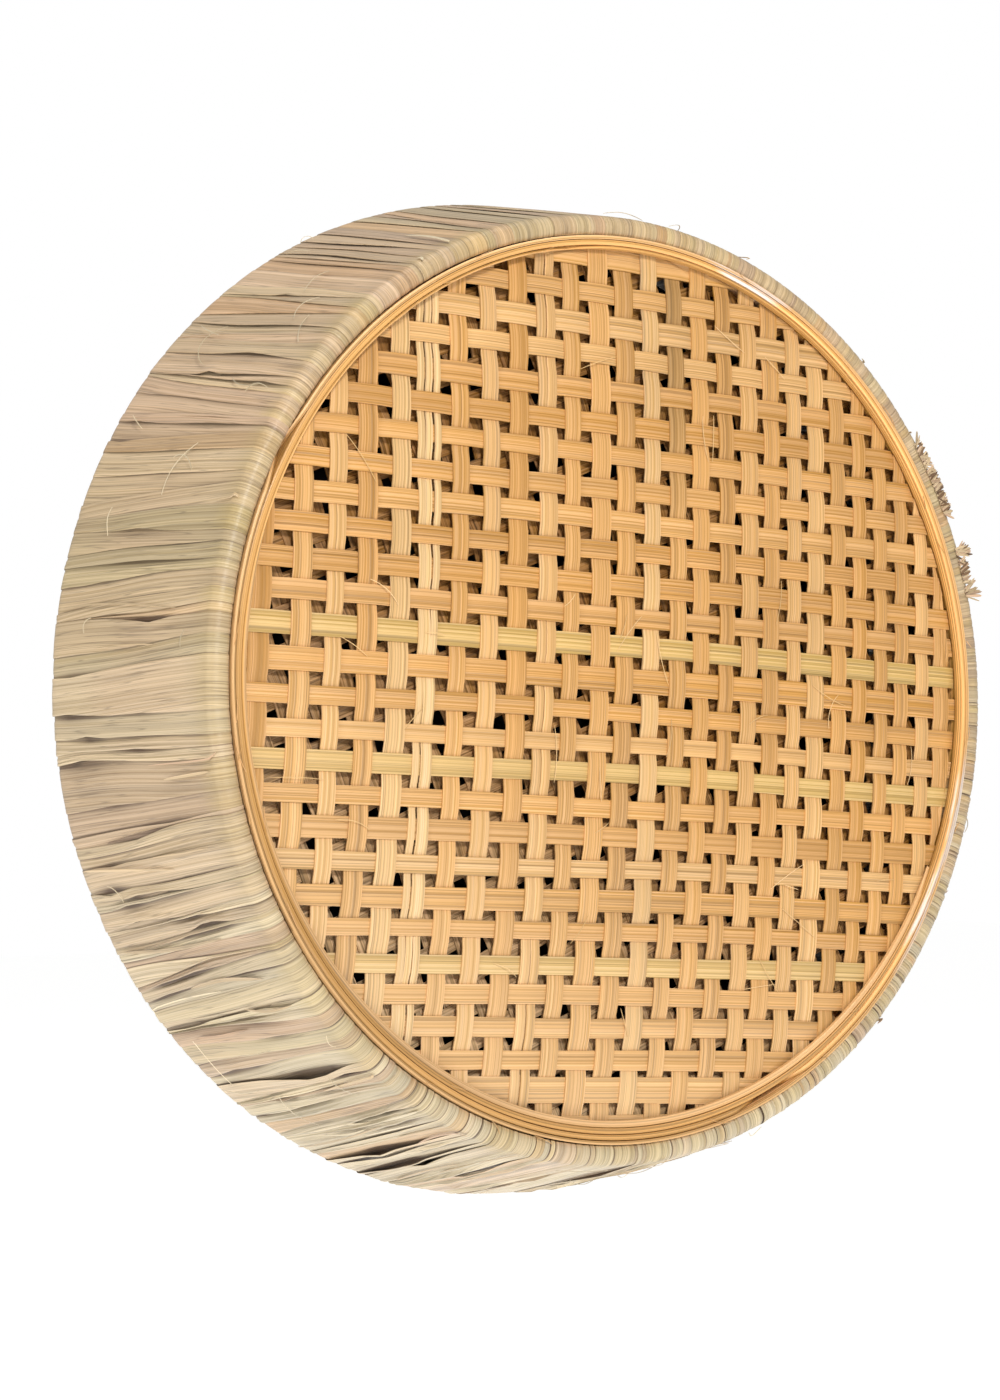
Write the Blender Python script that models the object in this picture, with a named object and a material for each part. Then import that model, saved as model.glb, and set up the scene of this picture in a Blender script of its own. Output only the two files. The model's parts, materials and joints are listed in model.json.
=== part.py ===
"""Round wall light: a drum of raffia wrapped over two wire rings, closed by a double woven bamboo front.

Frame: origin at the centre of the wall face, +Z up, the woven front faces -Y. Lengths are in metres.
"""

import math

import bmesh
import bpy
import numpy as np
from mathutils import Matrix, Vector

MM = 0.001
GAP = 0.3 * MM

# Driving dimensions of the drum
RIM_RADIUS = 188.7 * MM
FRONT_PLANE = -96.0 * MM
REAR_RADIUS = 220.8 * MM
ROUND_STEPS = 60

# Wire frame and raffia wrap
FRONT_WIRE_RADIUS = 3.0 * MM
REAR_WIRE_RADIUS = 2.5 * MM
RAFFIA_THICKNESS = 1.2 * MM
STRUT_RADIUS = 1.5 * MM
STRUT_COUNT = 8
RAFFIA_SECTORS = 12

# Splint hoops: inner radius, outer radius, front and back of each
HOOPS = {
    "rim_outer_splint": (187.1, 188.7, -96.0, -82.0),
    "rim_middle_splint": (184.7, 186.8, -96.6, -83.0),
    "rim_inner_splint": (181.6, 184.4, -95.4, -91.8),
    "mat_retaining_splint": (180.2, 184.4, -84.5, -78.0),
}

# Woven mats: pitch and width of the strips, turn of the whole mat
STRIP_THICKNESS = 0.8 * MM
STRIP_WIDTH = 7.9 * MM
UPRIGHT_PITCH = 13.46 * MM
CROSS_PITCH = 13.16 * MM
MAT_RADIUS = 184.4 * MM
MAT_BAND_INNER = 180.6 * MM
FRONT_MAT_TURN = math.radians(-1.5)
REAR_MAT_TURN = math.radians(22.0)
FRONT_MAT_LEVEL = -91.0 * MM
REAR_MAT_LEVEL = -86.4 * MM
LAYER_STEP = STRIP_THICKNESS + GAP

# Wall plate, bar and studs
PLATE_RADIUS = 209.5 * MM
PLATE_LIP = 6.0 * MM
PLATE_RISE_RADIUS = 96.0 * MM
PLATE_DEPTH = 18.0 * MM
SHEET = 1.2 * MM
BAR_SIZE = (150.0 * MM, 2.5 * MM, 28.0 * MM)
STUD_SPREAD = 55.0 * MM
STUD_RADIUS = 2.0 * MM
STUD_END = -25.5 * MM

# Lamp axis, holder and bulb
LAMP_Y = -49.0 * MM
SHELF_TOP = -50.0 * MM
SHELF_SHEET = 1.5 * MM
BULB_RADIUS = 22.5 * MM
BULB_CENTRE_Z = 27.5 * MM

# Lead and its grommet
LEAD_RADIUS = 1.6 * MM
GROMMET_Z = -80.0 * MM
CLIP_ANGLES = (90.0, 210.0, 330.0)

MATERIALS = {
    "bamboo_strip": ((0.72, 0.47, 0.22), 0.55, 0.0),
    "bamboo_back_strip": ((0.50, 0.29, 0.12), 0.6, 0.0),
    "bamboo_splint": ((0.70, 0.46, 0.22), 0.4, 0.0),
    "raffia": ((0.58, 0.49, 0.34), 0.75, 0.0),
    "black_steel": ((0.02, 0.018, 0.017), 0.5, 0.3),
    "zinc_steel": ((0.62, 0.62, 0.60), 0.35, 1.0),
    "spring_steel": ((0.45, 0.45, 0.44), 0.3, 1.0),
    "black_plastic": ((0.03, 0.03, 0.03), 0.45, 0.0),
    "white_plastic": ((0.85, 0.84, 0.80), 0.4, 0.0),
    "brass": ((0.70, 0.52, 0.22), 0.3, 1.0),
    "rubber": ((0.02, 0.02, 0.02), 0.8, 0.0),
    "glass": ((0.90, 0.93, 0.92), 0.05, 0.0),
}


def clear_scene():
    for item in list(bpy.data.objects):
        bpy.data.objects.remove(item, do_unlink=True)


def material(name):
    """Principled material of one named finish."""
    found = bpy.data.materials.get(name)
    if found:
        return found
    colour, roughness, metallic = MATERIALS[name]
    made = bpy.data.materials.new(name)
    made.use_nodes = True
    shader = made.node_tree.nodes["Principled BSDF"]
    shader.inputs["Base Color"].default_value = (*colour, 1.0)
    shader.inputs["Roughness"].default_value = roughness
    shader.inputs["Metallic"].default_value = metallic
    if name == "glass":
        shader.inputs["Alpha"].default_value = 0.35
    return made


def finish_object(name, bm, finish, origin=(0.0, 0.0, 0.0), parent=None):
    """Turn a closed bmesh, drawn in world metres, into an object with its origin at a chosen point."""
    bmesh.ops.remove_doubles(bm, verts=bm.verts, dist=1e-7)
    bmesh.ops.recalc_face_normals(bm, faces=bm.faces)
    bmesh.ops.translate(bm, verts=bm.verts, vec=-Vector(origin))
    mesh = bpy.data.meshes.new(name)
    bm.to_mesh(mesh)
    bm.free()
    mesh.shade_smooth()
    mesh.set_sharp_from_angle(angle=math.radians(35.0))
    mesh.materials.append(material(finish))
    made = bpy.data.objects.new(name, mesh)
    made.location = origin
    bpy.context.scene.collection.objects.link(made)
    if parent:
        made.parent = parent
        made.location = Vector(origin) - parent.location
    return made


def joint_empty(name, place):
    """Empty that marks a joint's axis."""
    made = bpy.data.objects.new(name, None)
    made.location = place
    bpy.context.scene.collection.objects.link(made)
    return made


def turned(profile, steps, centre=(0.0, 0.0, 0.0), axis="Z"):
    """Solid turned about an axis from a closed profile of (radius, height) points."""
    bm = bmesh.new()
    points = []
    for radius, height in profile:
        along = (radius, height, 0.0) if axis == "Y" else (radius, 0.0, height)
        points.append(bm.verts.new(Vector(centre) + Vector(along)))
    edges = []
    count = len(points)
    for index, point in enumerate(points):
        following = points[(index + 1) % count]
        on_axis = profile[index][0] == 0.0 and profile[(index + 1) % count][0] == 0.0
        if not on_axis:
            edges.append(bm.edges.new((point, following)))
    direction = Vector((0.0, 1.0, 0.0)) if axis == "Y" else Vector((0.0, 0.0, 1.0))
    bmesh.ops.spin(
        bm, geom=edges, cent=Vector(centre), axis=direction, angle=2.0 * math.pi, steps=steps, use_merge=True
    )
    bmesh.ops.remove_doubles(bm, verts=bm.verts, dist=1e-7)
    return bm


def extruded(outline, lift):
    """Prism from a flat closed outline of points, lifted by a vector."""
    bm = bmesh.new()
    face = bm.faces.new([bm.verts.new(point) for point in outline])
    grown = bmesh.ops.extrude_face_region(bm, geom=[face])
    moved = [item for item in grown["geom"] if isinstance(item, bmesh.types.BMVert)]
    bmesh.ops.translate(bm, verts=moved, vec=Vector(lift))
    return bm


def block(low, high):
    """Box between two corners."""
    x0, y0, z0 = low
    x1, y1, z1 = high
    outline = [(x0, y0, z0), (x1, y0, z0), (x1, y1, z0), (x0, y1, z0)]
    return extruded(outline, (0.0, 0.0, z1 - z0))


def cut(target, cutters):
    """Subtract each cutter from the target."""
    for number, cutter in enumerate(cutters):
        cutter.hide_render = True
        cutter.display_type = "WIRE"
        modifier = target.modifiers.new(f"cut_{number}", "BOOLEAN")
        modifier.operation = "DIFFERENCE"
        modifier.solver = "EXACT"
        modifier.object = cutter
    return target


def drill(name, place, radius, reach, axis, steps=16):
    """Round cutter centred on a point."""
    profile = [(0.0, -reach), (radius, -reach), (radius, reach), (0.0, reach)]
    return finish_object(name, turned(profile, steps, place, axis), "zinc_steel")


# ---------------------------------------------------------------- wire frame and raffia


def ring_centres():
    """(radius, depth) of the front and the rear wire ring."""
    front_wrap = FRONT_WIRE_RADIUS + GAP + RAFFIA_THICKNESS
    rear_wrap = REAR_WIRE_RADIUS + GAP + RAFFIA_THICKNESS
    front = (RIM_RADIUS + GAP + 0.1 * MM + front_wrap, FRONT_PLANE + 0.6 * MM + front_wrap)
    rear = (REAR_RADIUS - rear_wrap, -(GAP + rear_wrap))
    return front, rear


def racetrack(front_radius, rear_radius, arc_steps=4):
    """Closed belt around the two rings' sections, as (radius, depth) points."""
    front, rear = (np.array(centre) for centre in ring_centres())
    span = rear - front
    length = float(np.hypot(*span))
    heading = math.atan2(span[1], span[0])
    tangent = math.acos((front_radius - rear_radius) / length)
    points = []
    for step in range(arc_steps + 1):
        angle = heading - tangent + 2.0 * tangent * step / arc_steps
        points.append(rear + rear_radius * np.array((math.cos(angle), math.sin(angle))))
    for step in range(arc_steps + 1):
        angle = heading + tangent + (2.0 * math.pi - 2.0 * tangent) * step / arc_steps
        points.append(front + front_radius * np.array((math.cos(angle), math.sin(angle))))
    return points


def around(point, angle):
    """Place a (radius, depth) point at an angle about the drum's axis."""
    return (point[0] * math.cos(angle), point[1], point[0] * math.sin(angle))


def make_wire_ring(name, centre, wire_radius):
    section = [
        (
            centre[0] + wire_radius * math.cos(2.0 * math.pi * step / 6),
            centre[1] + wire_radius * math.sin(2.0 * math.pi * step / 6),
        )
        for step in range(6)
    ]
    finish_object(name, turned(section, ROUND_STEPS, axis="Y"), "zinc_steel")


def rod_between(start, end, radius, sides=6):
    """Closed round rod between two points."""
    start, end = Vector(start), Vector(end)
    turn = Vector((0.0, 0.0, 1.0)).rotation_difference(end - start).to_matrix().to_4x4()
    bm = bmesh.new()
    bmesh.ops.create_cone(
        bm,
        cap_ends=True,
        segments=sides,
        radius1=radius,
        radius2=radius,
        depth=(end - start).length,
        matrix=Matrix.Translation((start + end) / 2.0) @ turn,
    )
    return bm


def make_struts():
    front, rear = (np.array(centre) for centre in ring_centres())
    along = (rear - front) / np.hypot(*(rear - front))
    near = front + along * (FRONT_WIRE_RADIUS + GAP)
    far = rear - along * (REAR_WIRE_RADIUS + GAP)
    for number in range(STRUT_COUNT):
        angle = 2.0 * math.pi * (number + 0.5) / STRUT_COUNT
        bm = rod_between(around(near, angle), around(far, angle), STRUT_RADIUS)
        finish_object(f"frame_strut_{number + 1}", bm, "zinc_steel")


def make_raffia_sector(number):
    """One run of raffia, wound over both rings: a flattened tube that follows part of the drum."""
    outer = racetrack(
        FRONT_WIRE_RADIUS + GAP + RAFFIA_THICKNESS, REAR_WIRE_RADIUS + GAP + RAFFIA_THICKNESS
    )
    inner = racetrack(FRONT_WIRE_RADIUS + GAP, REAR_WIRE_RADIUS + GAP)
    span = 2.0 * math.pi / RAFFIA_SECTORS
    steps = ROUND_STEPS // RAFFIA_SECTORS
    trim = 0.5 * GAP / RIM_RADIUS
    angles = [span * (number + step / steps) for step in range(steps + 1)]
    angles[0] += trim
    angles[-1] -= trim
    bm = bmesh.new()
    skins = [
        [[bm.verts.new(around(point, angle)) for point in belt] for angle in angles] for belt in (outer, inner)
    ]
    count = len(outer)
    for skin in skins:
        for here, there in zip(skin, skin[1:]):
            for index in range(count):
                after = (index + 1) % count
                bm.faces.new((here[index], here[after], there[after], there[index]))
    for end in (0, -1):
        for index in range(count):
            after = (index + 1) % count
            bm.faces.new((skins[0][end][index], skins[0][end][after], skins[1][end][after], skins[1][end][index]))
    finish_object(f"raffia_wrap_{number + 1:02d}", bm, "raffia")


def make_frame_and_raffia():
    front, rear = ring_centres()
    make_wire_ring("front_wire_ring", front, FRONT_WIRE_RADIUS)
    make_wire_ring("rear_wire_ring", rear, REAR_WIRE_RADIUS)
    make_struts()
    for number in range(RAFFIA_SECTORS):
        make_raffia_sector(number)


def make_hoops():
    for name, (inner, outer, front, back) in HOOPS.items():
        section = [(inner * MM, front * MM), (outer * MM, front * MM), (outer * MM, back * MM), (inner * MM, back * MM)]
        finish_object(name, turned(section, ROUND_STEPS, axis="Y"), "bamboo_splint")


# ---------------------------------------------------------------- woven mats


def gap_outline(low, high):
    """Outline of one opening between two strips, ended by the mat's edge band."""
    reach = MAT_BAND_INNER

    def height(across):
        return math.sqrt(max(reach * reach - across * across, 0.0))

    steps = 2 if high < reach and low > -reach else 6
    low, high = max(low, -reach), min(high, reach)
    top = [low + (high - low) * step / steps for step in range(steps + 1)]
    points = [(across, height(across)) for across in top]
    points += [(across, -height(across)) for across in reversed(top)]
    clean = []
    for point in points:
        if not clean or math.dist(point, clean[-1]) > 0.01 * MM:
            clean.append(point)
    if math.dist(clean[0], clean[-1]) < 0.01 * MM:
        clean.pop()
    return clean


def comb_outlines(pitch, width, offset):
    """Edge circle of a mat layer and the outline of every opening in it."""
    circle = [
        (
            MAT_RADIUS * math.cos(2.0 * math.pi * step / ROUND_STEPS),
            MAT_RADIUS * math.sin(2.0 * math.pi * step / ROUND_STEPS),
        )
        for step in range(ROUND_STEPS)
    ]
    reach = MAT_BAND_INNER
    first = math.ceil((-reach - offset) / pitch)
    last = math.floor((reach - offset) / pitch)
    centres = [offset + pitch * index for index in range(first, last + 1)]
    edges = [-2.0 * reach]
    for centre in centres:
        edges += [centre - width / 2.0, centre + width / 2.0]
    edges.append(2.0 * reach)
    openings = []
    for low, high in zip(edges[0::2], edges[1::2]):
        if min(high, reach) - max(low, -reach) > 1.5 * MM:
            openings.append(gap_outline(low, high))
    return circle, openings


def make_mat_layer(name, finish, pitch, offset, turn, level):
    """One layer of parallel strips held by a thin band at the edge, cut from one sheet."""
    circle, openings = comb_outlines(pitch, STRIP_WIDTH, offset)
    bm = bmesh.new()
    for outline in [circle, *openings]:
        points = [
            bm.verts.new(
                (
                    across * math.cos(turn) - along * math.sin(turn),
                    level - STRIP_THICKNESS / 2.0,
                    across * math.sin(turn) + along * math.cos(turn),
                )
            )
            for across, along in outline
        ]
        for index, point in enumerate(points):
            bm.edges.new((point, points[(index + 1) % len(points)]))
    bmesh.ops.triangle_fill(bm, edges=bm.edges[:], use_beauty=True, normal=(0.0, -1.0, 0.0))
    grown = bmesh.ops.extrude_face_region(bm, geom=bm.faces[:], use_keep_orig=True)
    moved = [item for item in grown["geom"] if isinstance(item, bmesh.types.BMVert)]
    bmesh.ops.translate(bm, verts=moved, vec=(0.0, STRIP_THICKNESS, 0.0))
    finish_object(name, bm, finish)


def make_mats():
    """Two crossed layers make the front mat; two more, turned, make the mat behind it."""
    quarter = math.pi / 2.0
    half = UPRIGHT_PITCH / 2.0
    make_mat_layer(
        "front_mat_uprights", "bamboo_strip", UPRIGHT_PITCH, half, FRONT_MAT_TURN, FRONT_MAT_LEVEL
    )
    make_mat_layer(
        "front_mat_crosspieces",
        "bamboo_strip",
        CROSS_PITCH,
        4.4 * MM,
        FRONT_MAT_TURN + quarter,
        FRONT_MAT_LEVEL + LAYER_STEP,
    )
    make_mat_layer(
        "back_mat_uprights", "bamboo_back_strip", UPRIGHT_PITCH, half, REAR_MAT_TURN, REAR_MAT_LEVEL
    )
    make_mat_layer(
        "back_mat_crosspieces",
        "bamboo_back_strip",
        CROSS_PITCH,
        2.0 * MM,
        REAR_MAT_TURN + quarter,
        REAR_MAT_LEVEL + LAYER_STEP,
    )


# ---------------------------------------------------------------- wall plate and fixings


def make_wall_plate():
    """Spun black plate: a flat flange near the wall with a turned-up lip, and a raised centre over the wiring."""
    rise, depth, rim = PLATE_RISE_RADIUS, -PLATE_DEPTH, PLATE_RADIUS
    corner = 4.0 * MM
    back = -GAP
    profile = [
        (0.0, depth),
        (rise - corner, depth),
        (rise, depth + corner),
        (rise, back - SHEET),
        (rim - SHEET, back - SHEET),
        (rim - SHEET, -PLATE_LIP),
        (rim, -PLATE_LIP),
        (rim, back),
        (rise - SHEET, back),
        (rise - SHEET, depth + corner + 0.5 * SHEET),
        (rise - corner - 0.5 * SHEET, depth + SHEET),
        (0.0, depth + SHEET),
    ]
    plate = finish_object("wall_plate", turned(profile, 60, axis="Y"), "black_steel")
    cutters = [
        drill(f"stud_hole_{side}", (side * STUD_SPREAD, depth, 0.0), STUD_RADIUS + 2 * GAP, 6 * MM, "Y")
        for side in (-1, 1)
    ]
    cutters.append(drill("lead_hole", (0.0, depth, GROMMET_Z), 5.3 * MM, 6 * MM, "Y"))
    cutters += [
        drill(f"bracket_hole_{side}", (side * 7 * MM, depth, -26 * MM), 1.5 * MM + GAP, 6 * MM, "Y", 12)
        for side in (-1, 1)
    ]
    for angle in CLIP_ANGLES:
        x, z = (192.0 * MM * f(math.radians(angle)) for f in (math.cos, math.sin))
        cutters.append(drill(f"clip_hole_{angle:.0f}", (x, 0.0, z), 1.5 * MM + GAP, 6 * MM, "Y", 12))
    cut(plate, cutters)


def make_mounting_bar():
    """Flat bar screwed to the wall through two slots; two studs stand on it."""
    length, thickness, height = BAR_SIZE
    bar = finish_object(
        "mounting_bar",
        block((-length / 2, -thickness, -height / 2), (length / 2, 0.0, height / 2)),
        "zinc_steel",
    )
    cutters = []
    for side in (-1, 1):
        low, high = sorted((side * 18 * MM, side * 38 * MM))
        slot = block((low, -2 * thickness, -2.4 * MM), (high, thickness, 2.4 * MM))
        cutters.append(finish_object(f"wall_slot_{side}", slot, "zinc_steel"))
    cutters.append(drill("earth_hole", (0.0, 0.0, 8.0 * MM), 2.0 * MM + GAP, 6 * MM, "Y", 12))
    cut(bar, cutters)
    profile = [
        (0.0, -5.4 * MM),
        (3.6 * MM, -4.9 * MM),
        (3.6 * MM, -thickness - GAP),
        (2.0 * MM, -thickness - GAP),
        (2.0 * MM, -GAP),
        (0.0, -GAP),
    ]
    finish_object("earth_screw", turned(profile, 16, (0.0, 0.0, 8.0 * MM), "Y"), "brass")


def make_studs_and_nuts():
    """A stud each side, and the knurled cap nut that draws the plate against the bar."""
    for side, word in ((-1, "left"), (1, "right")):
        place = (side * STUD_SPREAD, 0.0, 0.0)
        stud = [(0.0, STUD_END), (STUD_RADIUS, STUD_END), (STUD_RADIUS, -2.8 * MM), (0.0, -2.8 * MM)]
        finish_object(f"stud_{word}", turned(stud, 16, place, "Y"), "zinc_steel")
        seat = -PLATE_DEPTH - GAP
        bore = STUD_RADIUS + GAP
        profile = [
            (0.0, seat - 10 * MM),
            (5.4 * MM, seat - 10 * MM),
            (7.0 * MM, seat - 8.4 * MM),
            (7.0 * MM, seat),
            (bore, seat),
            (bore, STUD_END - GAP),
            (0.0, STUD_END - GAP),
        ]
        axis = joint_empty(f"nut_axis_{word}", (side * STUD_SPREAD, seat, 0.0))
        finish_object(f"cap_nut_{word}", turned(profile, 20, place, "Y"), "brass", axis.location, axis)


def make_clips():
    """Three leaf springs on the flange that grip the inside of the wrapped rear ring."""
    seat = -(GAP + SHEET + GAP)
    leaf = 0.8 * MM
    half_width = 6.0 * MM
    line = [(184.0, 0.0), (202.0, 0.0), (209.2, -9.0), (204.5, -23.0)]
    outer = [(r * MM, seat + d * MM) for r, d in line]
    inner = [(184.0 * MM, seat - leaf), (201.4 * MM, seat - leaf), (208.2 * MM, seat - 9.0 * MM), (203.7 * MM, seat - 22.8 * MM)]
    outline = outer + inner[::-1]
    for number, angle in enumerate(CLIP_ANGLES, start=1):
        turn = math.radians(angle)
        out = Vector((math.cos(turn), 0.0, math.sin(turn)))
        side = Vector((-math.sin(turn), 0.0, math.cos(turn)))
        points = [out * r + Vector((0.0, d, 0.0)) - side * half_width for r, d in outline]
        clip = finish_object(f"shade_clip_{number}", extruded(points, side * 2.0 * half_width), "spring_steel")
        place = out * 192.0 * MM
        cut(clip, [drill(f"rivet_hole_{number}", place, 1.5 * MM + GAP, 6 * MM, "Y", 12)])
        profile = [
            (0.0, seat - leaf - GAP - 1.2 * MM),
            (2.8 * MM, seat - leaf - GAP - 0.8 * MM),
            (2.8 * MM, seat - leaf - GAP),
            (1.5 * MM, seat - leaf - GAP),
            (1.5 * MM, -0.4 * MM),
            (0.0, -0.4 * MM),
        ]
        finish_object(f"clip_rivet_{number}", turned(profile, 12, place, "Y"), "zinc_steel")


# ---------------------------------------------------------------- lampholder, lead and bulb


def make_bracket():
    front = -PLATE_DEPTH - GAP
    reach = -66.0 * MM
    foot_top = -18.0 * MM
    outline = [
        (-14 * MM, front, foot_top),
        (-14 * MM, front - SHELF_SHEET, foot_top),
        (-14 * MM, front - SHELF_SHEET, SHELF_TOP),
        (-14 * MM, reach, SHELF_TOP),
        (-14 * MM, reach, SHELF_TOP - SHELF_SHEET),
        (-14 * MM, front, SHELF_TOP - SHELF_SHEET),
    ]
    bracket = finish_object("holder_bracket", extruded(outline, (28 * MM, 0.0, 0.0)), "zinc_steel")
    cutters = [drill("nipple_hole", (0.0, LAMP_Y, SHELF_TOP), 4.6 * MM + GAP, 6 * MM, "Z")]
    cutters += [
        drill(f"foot_hole_{side}", (side * 7 * MM, front, -26 * MM), 1.5 * MM + GAP, 6 * MM, "Y", 12)
        for side in (-1, 1)
    ]
    cut(bracket, cutters)
    head = front - SHELF_SHEET - GAP
    for side, word in ((-1, "left"), (1, "right")):
        profile = [
            (0.0, head - 2.0 * MM),
            (2.4 * MM, head - 1.6 * MM),
            (2.9 * MM, head),
            (1.5 * MM, head),
            (1.5 * MM, -PLATE_DEPTH + SHEET + 1.5 * MM),
            (0.0, -PLATE_DEPTH + SHEET + 1.5 * MM),
        ]
        place = (side * 7 * MM, 0.0, -26 * MM)
        finish_object(f"bracket_screw_{word}", turned(profile, 12, place, "Y"), "zinc_steel")


def lamp_part(name, profile, finish, steps=24, parent=None):
    """Part turned about the lamp's upright axis, from (radius, height) points in millimetres."""
    scaled = [(radius * MM, height * MM) for radius, height in profile]
    centre = (0.0, LAMP_Y, 0.0)
    return finish_object(name, turned(scaled, steps, centre), finish, centre if parent else (0, 0, 0), parent)


def make_lampholder():
    lamp_part(
        "lampholder_cup",
        [(4.9, -49.7), (13.2, -49.7), (14.6, -47.5), (14.6, -6.3), (9.6, -6.3), (9.6, -42.0), (4.9, -42.0)],
        "black_plastic",
    )
    lamp_part("lampholder_sleeve", [(7.4, -38.4), (8.2, -38.4), (8.2, -13.0), (7.4, -13.0)], "brass", 20)
    lamp_part("contact_carrier", [(0.0, -41.7), (9.2, -41.7), (9.2, -38.7), (0.0, -38.7)], "white_plastic", 20)
    lamp_part("centre_contact", [(0.0, -38.4), (2.2, -38.4), (2.2, -36.5), (0.0, -36.5)], "brass", 12)
    lamp_part("holder_nipple", [(2.2, -60.0), (4.6, -60.0), (4.6, -43.2), (2.2, -43.2)], "zinc_steel", 16)
    lamp_part("nipple_nut", [(4.9, -55.5), (8.6, -55.5), (8.6, -51.8), (4.9, -51.8)], "zinc_steel", 16)


def make_bulb():
    """Globe bulb with a small screw cap, standing in the holder."""
    axis = joint_empty("bulb_axis", (0.0, LAMP_Y, 0.0))
    wall = 0.9
    centre, radius = BULB_CENTRE_Z / MM, BULB_RADIUS / MM
    start = math.radians(-52.0)

    def globe(size, steps=9):
        angles = [start + (math.pi / 2.0 - start) * step / steps for step in range(steps + 1)]
        points = [(size * math.cos(angle), centre + size * math.sin(angle)) for angle in angles]
        points[-1] = (0.0, points[-1][1])
        return points

    outer = [(7.2, -9.0), (7.2, -3.0), *globe(radius)]
    inner = [(7.2 - wall, -9.0), (7.2 - wall, -2.6), *globe(radius - wall)]
    lamp_part("bulb_glass", outer + inner[::-1], "glass", 24, axis)
    lamp_part(
        "bulb_stem",
        [(0.0, -12.0), (3.0, -12.0), (3.0, 6.0), (1.4, 14.0), (1.4, 34.0), (0.0, 36.0)],
        "glass",
        12,
        axis,
    )
    cap = [(0.0, -34.0), (4.6, -34.0), (6.95, -31.5), (6.95, -12.0), (8.3, -10.6), (8.3, -5.3), (7.5, -5.3)]
    cap += [(7.5, -10.2), (6.2, -11.6), (6.2, -31.0), (4.2, -33.0), (0.0, -33.0)]
    lamp_part("bulb_cap", cap, "brass", 20, axis)
    lamp_part("bulb_contact", [(0.0, -36.2), (3.2, -36.2), (3.2, -34.3), (0.0, -34.3)], "brass", 12, axis)


def arc(centre, radius, start, end, steps):
    """Points of an arc in the plane across the lamp, as (x, y, z)."""
    points = []
    for step in range(steps + 1):
        angle = math.radians(start + (end - start) * step / steps)
        points.append((0.0, centre[0] + radius * math.cos(angle), centre[1] + radius * math.sin(angle)))
    return points


def swept_rod(points, radius, sides=8):
    """Round rod along a flat run of points, closed at both ends."""
    bm = bmesh.new()
    rings = []
    for index, point in enumerate(points):
        before = Vector(points[max(index - 1, 0)])
        after = Vector(points[min(index + 1, len(points) - 1)])
        heading = (after - before).normalized()
        across = Vector((1.0, 0.0, 0.0))
        up = heading.cross(across)
        ring = []
        for step in range(sides):
            angle = 2.0 * math.pi * step / sides
            ring.append(bm.verts.new(Vector(point) + radius * (math.cos(angle) * across + math.sin(angle) * up)))
        rings.append(ring)
    for here, there in zip(rings, rings[1:]):
        for index in range(sides):
            after = (index + 1) % sides
            bm.faces.new((here[index], here[after], there[after], there[index]))
    bm.faces.new(rings[0])
    bm.faces.new(rings[-1])
    return bm


def make_wiring():
    """Terminal block behind the plate, and the lead from it through the grommet up to the holder."""
    finish_object(
        "terminal_block", block((-10 * MM, -15.5 * MM, -52 * MM), (10 * MM, -4.5 * MM, -34 * MM)), "white_plastic"
    )
    front, back = -PLATE_DEPTH - GAP, -PLATE_DEPTH + SHEET + GAP
    flange = 1.7 * MM
    bore = LEAD_RADIUS + GAP
    profile = [
        (bore, front - flange),
        (7.5 * MM, front - flange),
        (7.5 * MM, front),
        (5.0 * MM, front),
        (5.0 * MM, back),
        (7.5 * MM, back),
        (7.5 * MM, back + flange),
        (bore, back + flange),
    ]
    finish_object("lead_grommet", turned(profile, 16, (0.0, 0.0, GROMMET_Z), "Y"), "rubber")
    bend = 14.0 * MM
    small = 5.0 * MM
    points = [(0.0, LAMP_Y, -42.6 * MM), (0.0, LAMP_Y, GROMMET_Z + bend)]
    points += arc((LAMP_Y + bend, GROMMET_Z + bend), bend, 180.0, 270.0, 8)[1:]
    points += arc((-13.0 * MM, GROMMET_Z + small), small, 270.0, 360.0, 6)
    points.append((0.0, -8.0 * MM, -52 * MM - GAP))
    finish_object("internal_lead", swept_rod(points, LEAD_RADIUS), "white_plastic")


def main():
    clear_scene()
    make_frame_and_raffia()
    make_hoops()
    make_mats()
    make_wall_plate()
    make_mounting_bar()
    make_studs_and_nuts()
    make_clips()
    make_bracket()
    make_lampholder()
    make_bulb()
    make_wiring()


main()
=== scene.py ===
"""Finished looks of a round wall light: a raffia-wrapped drum closed by a double woven bamboo front.

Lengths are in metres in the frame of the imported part: +Z is up and the woven front faces -Y.
"""

import json
import logging
import math
from dataclasses import dataclass
from enum import Enum

import bpy
import numpy as np
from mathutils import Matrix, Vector


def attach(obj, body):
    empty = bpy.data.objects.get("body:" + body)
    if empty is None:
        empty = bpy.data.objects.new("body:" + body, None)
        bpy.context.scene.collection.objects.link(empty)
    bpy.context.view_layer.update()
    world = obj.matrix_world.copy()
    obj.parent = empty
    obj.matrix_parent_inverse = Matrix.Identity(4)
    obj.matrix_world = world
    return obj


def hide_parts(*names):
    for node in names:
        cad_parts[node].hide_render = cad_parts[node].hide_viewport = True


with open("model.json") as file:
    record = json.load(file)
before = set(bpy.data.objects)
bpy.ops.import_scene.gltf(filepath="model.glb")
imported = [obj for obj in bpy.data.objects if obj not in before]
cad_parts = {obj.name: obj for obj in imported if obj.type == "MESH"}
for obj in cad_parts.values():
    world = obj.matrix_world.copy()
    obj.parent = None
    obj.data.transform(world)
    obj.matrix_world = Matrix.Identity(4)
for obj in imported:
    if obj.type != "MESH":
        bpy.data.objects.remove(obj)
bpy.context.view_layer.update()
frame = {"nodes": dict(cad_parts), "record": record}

MM = 0.001
FULL_TURN = 2.0 * math.pi
SHARP_ANGLE = math.radians(40.0)
LOG = logging.getLogger("wall_light")
Array = np.ndarray


# ---------------------------------------------------------------- colour and nodes


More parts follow.
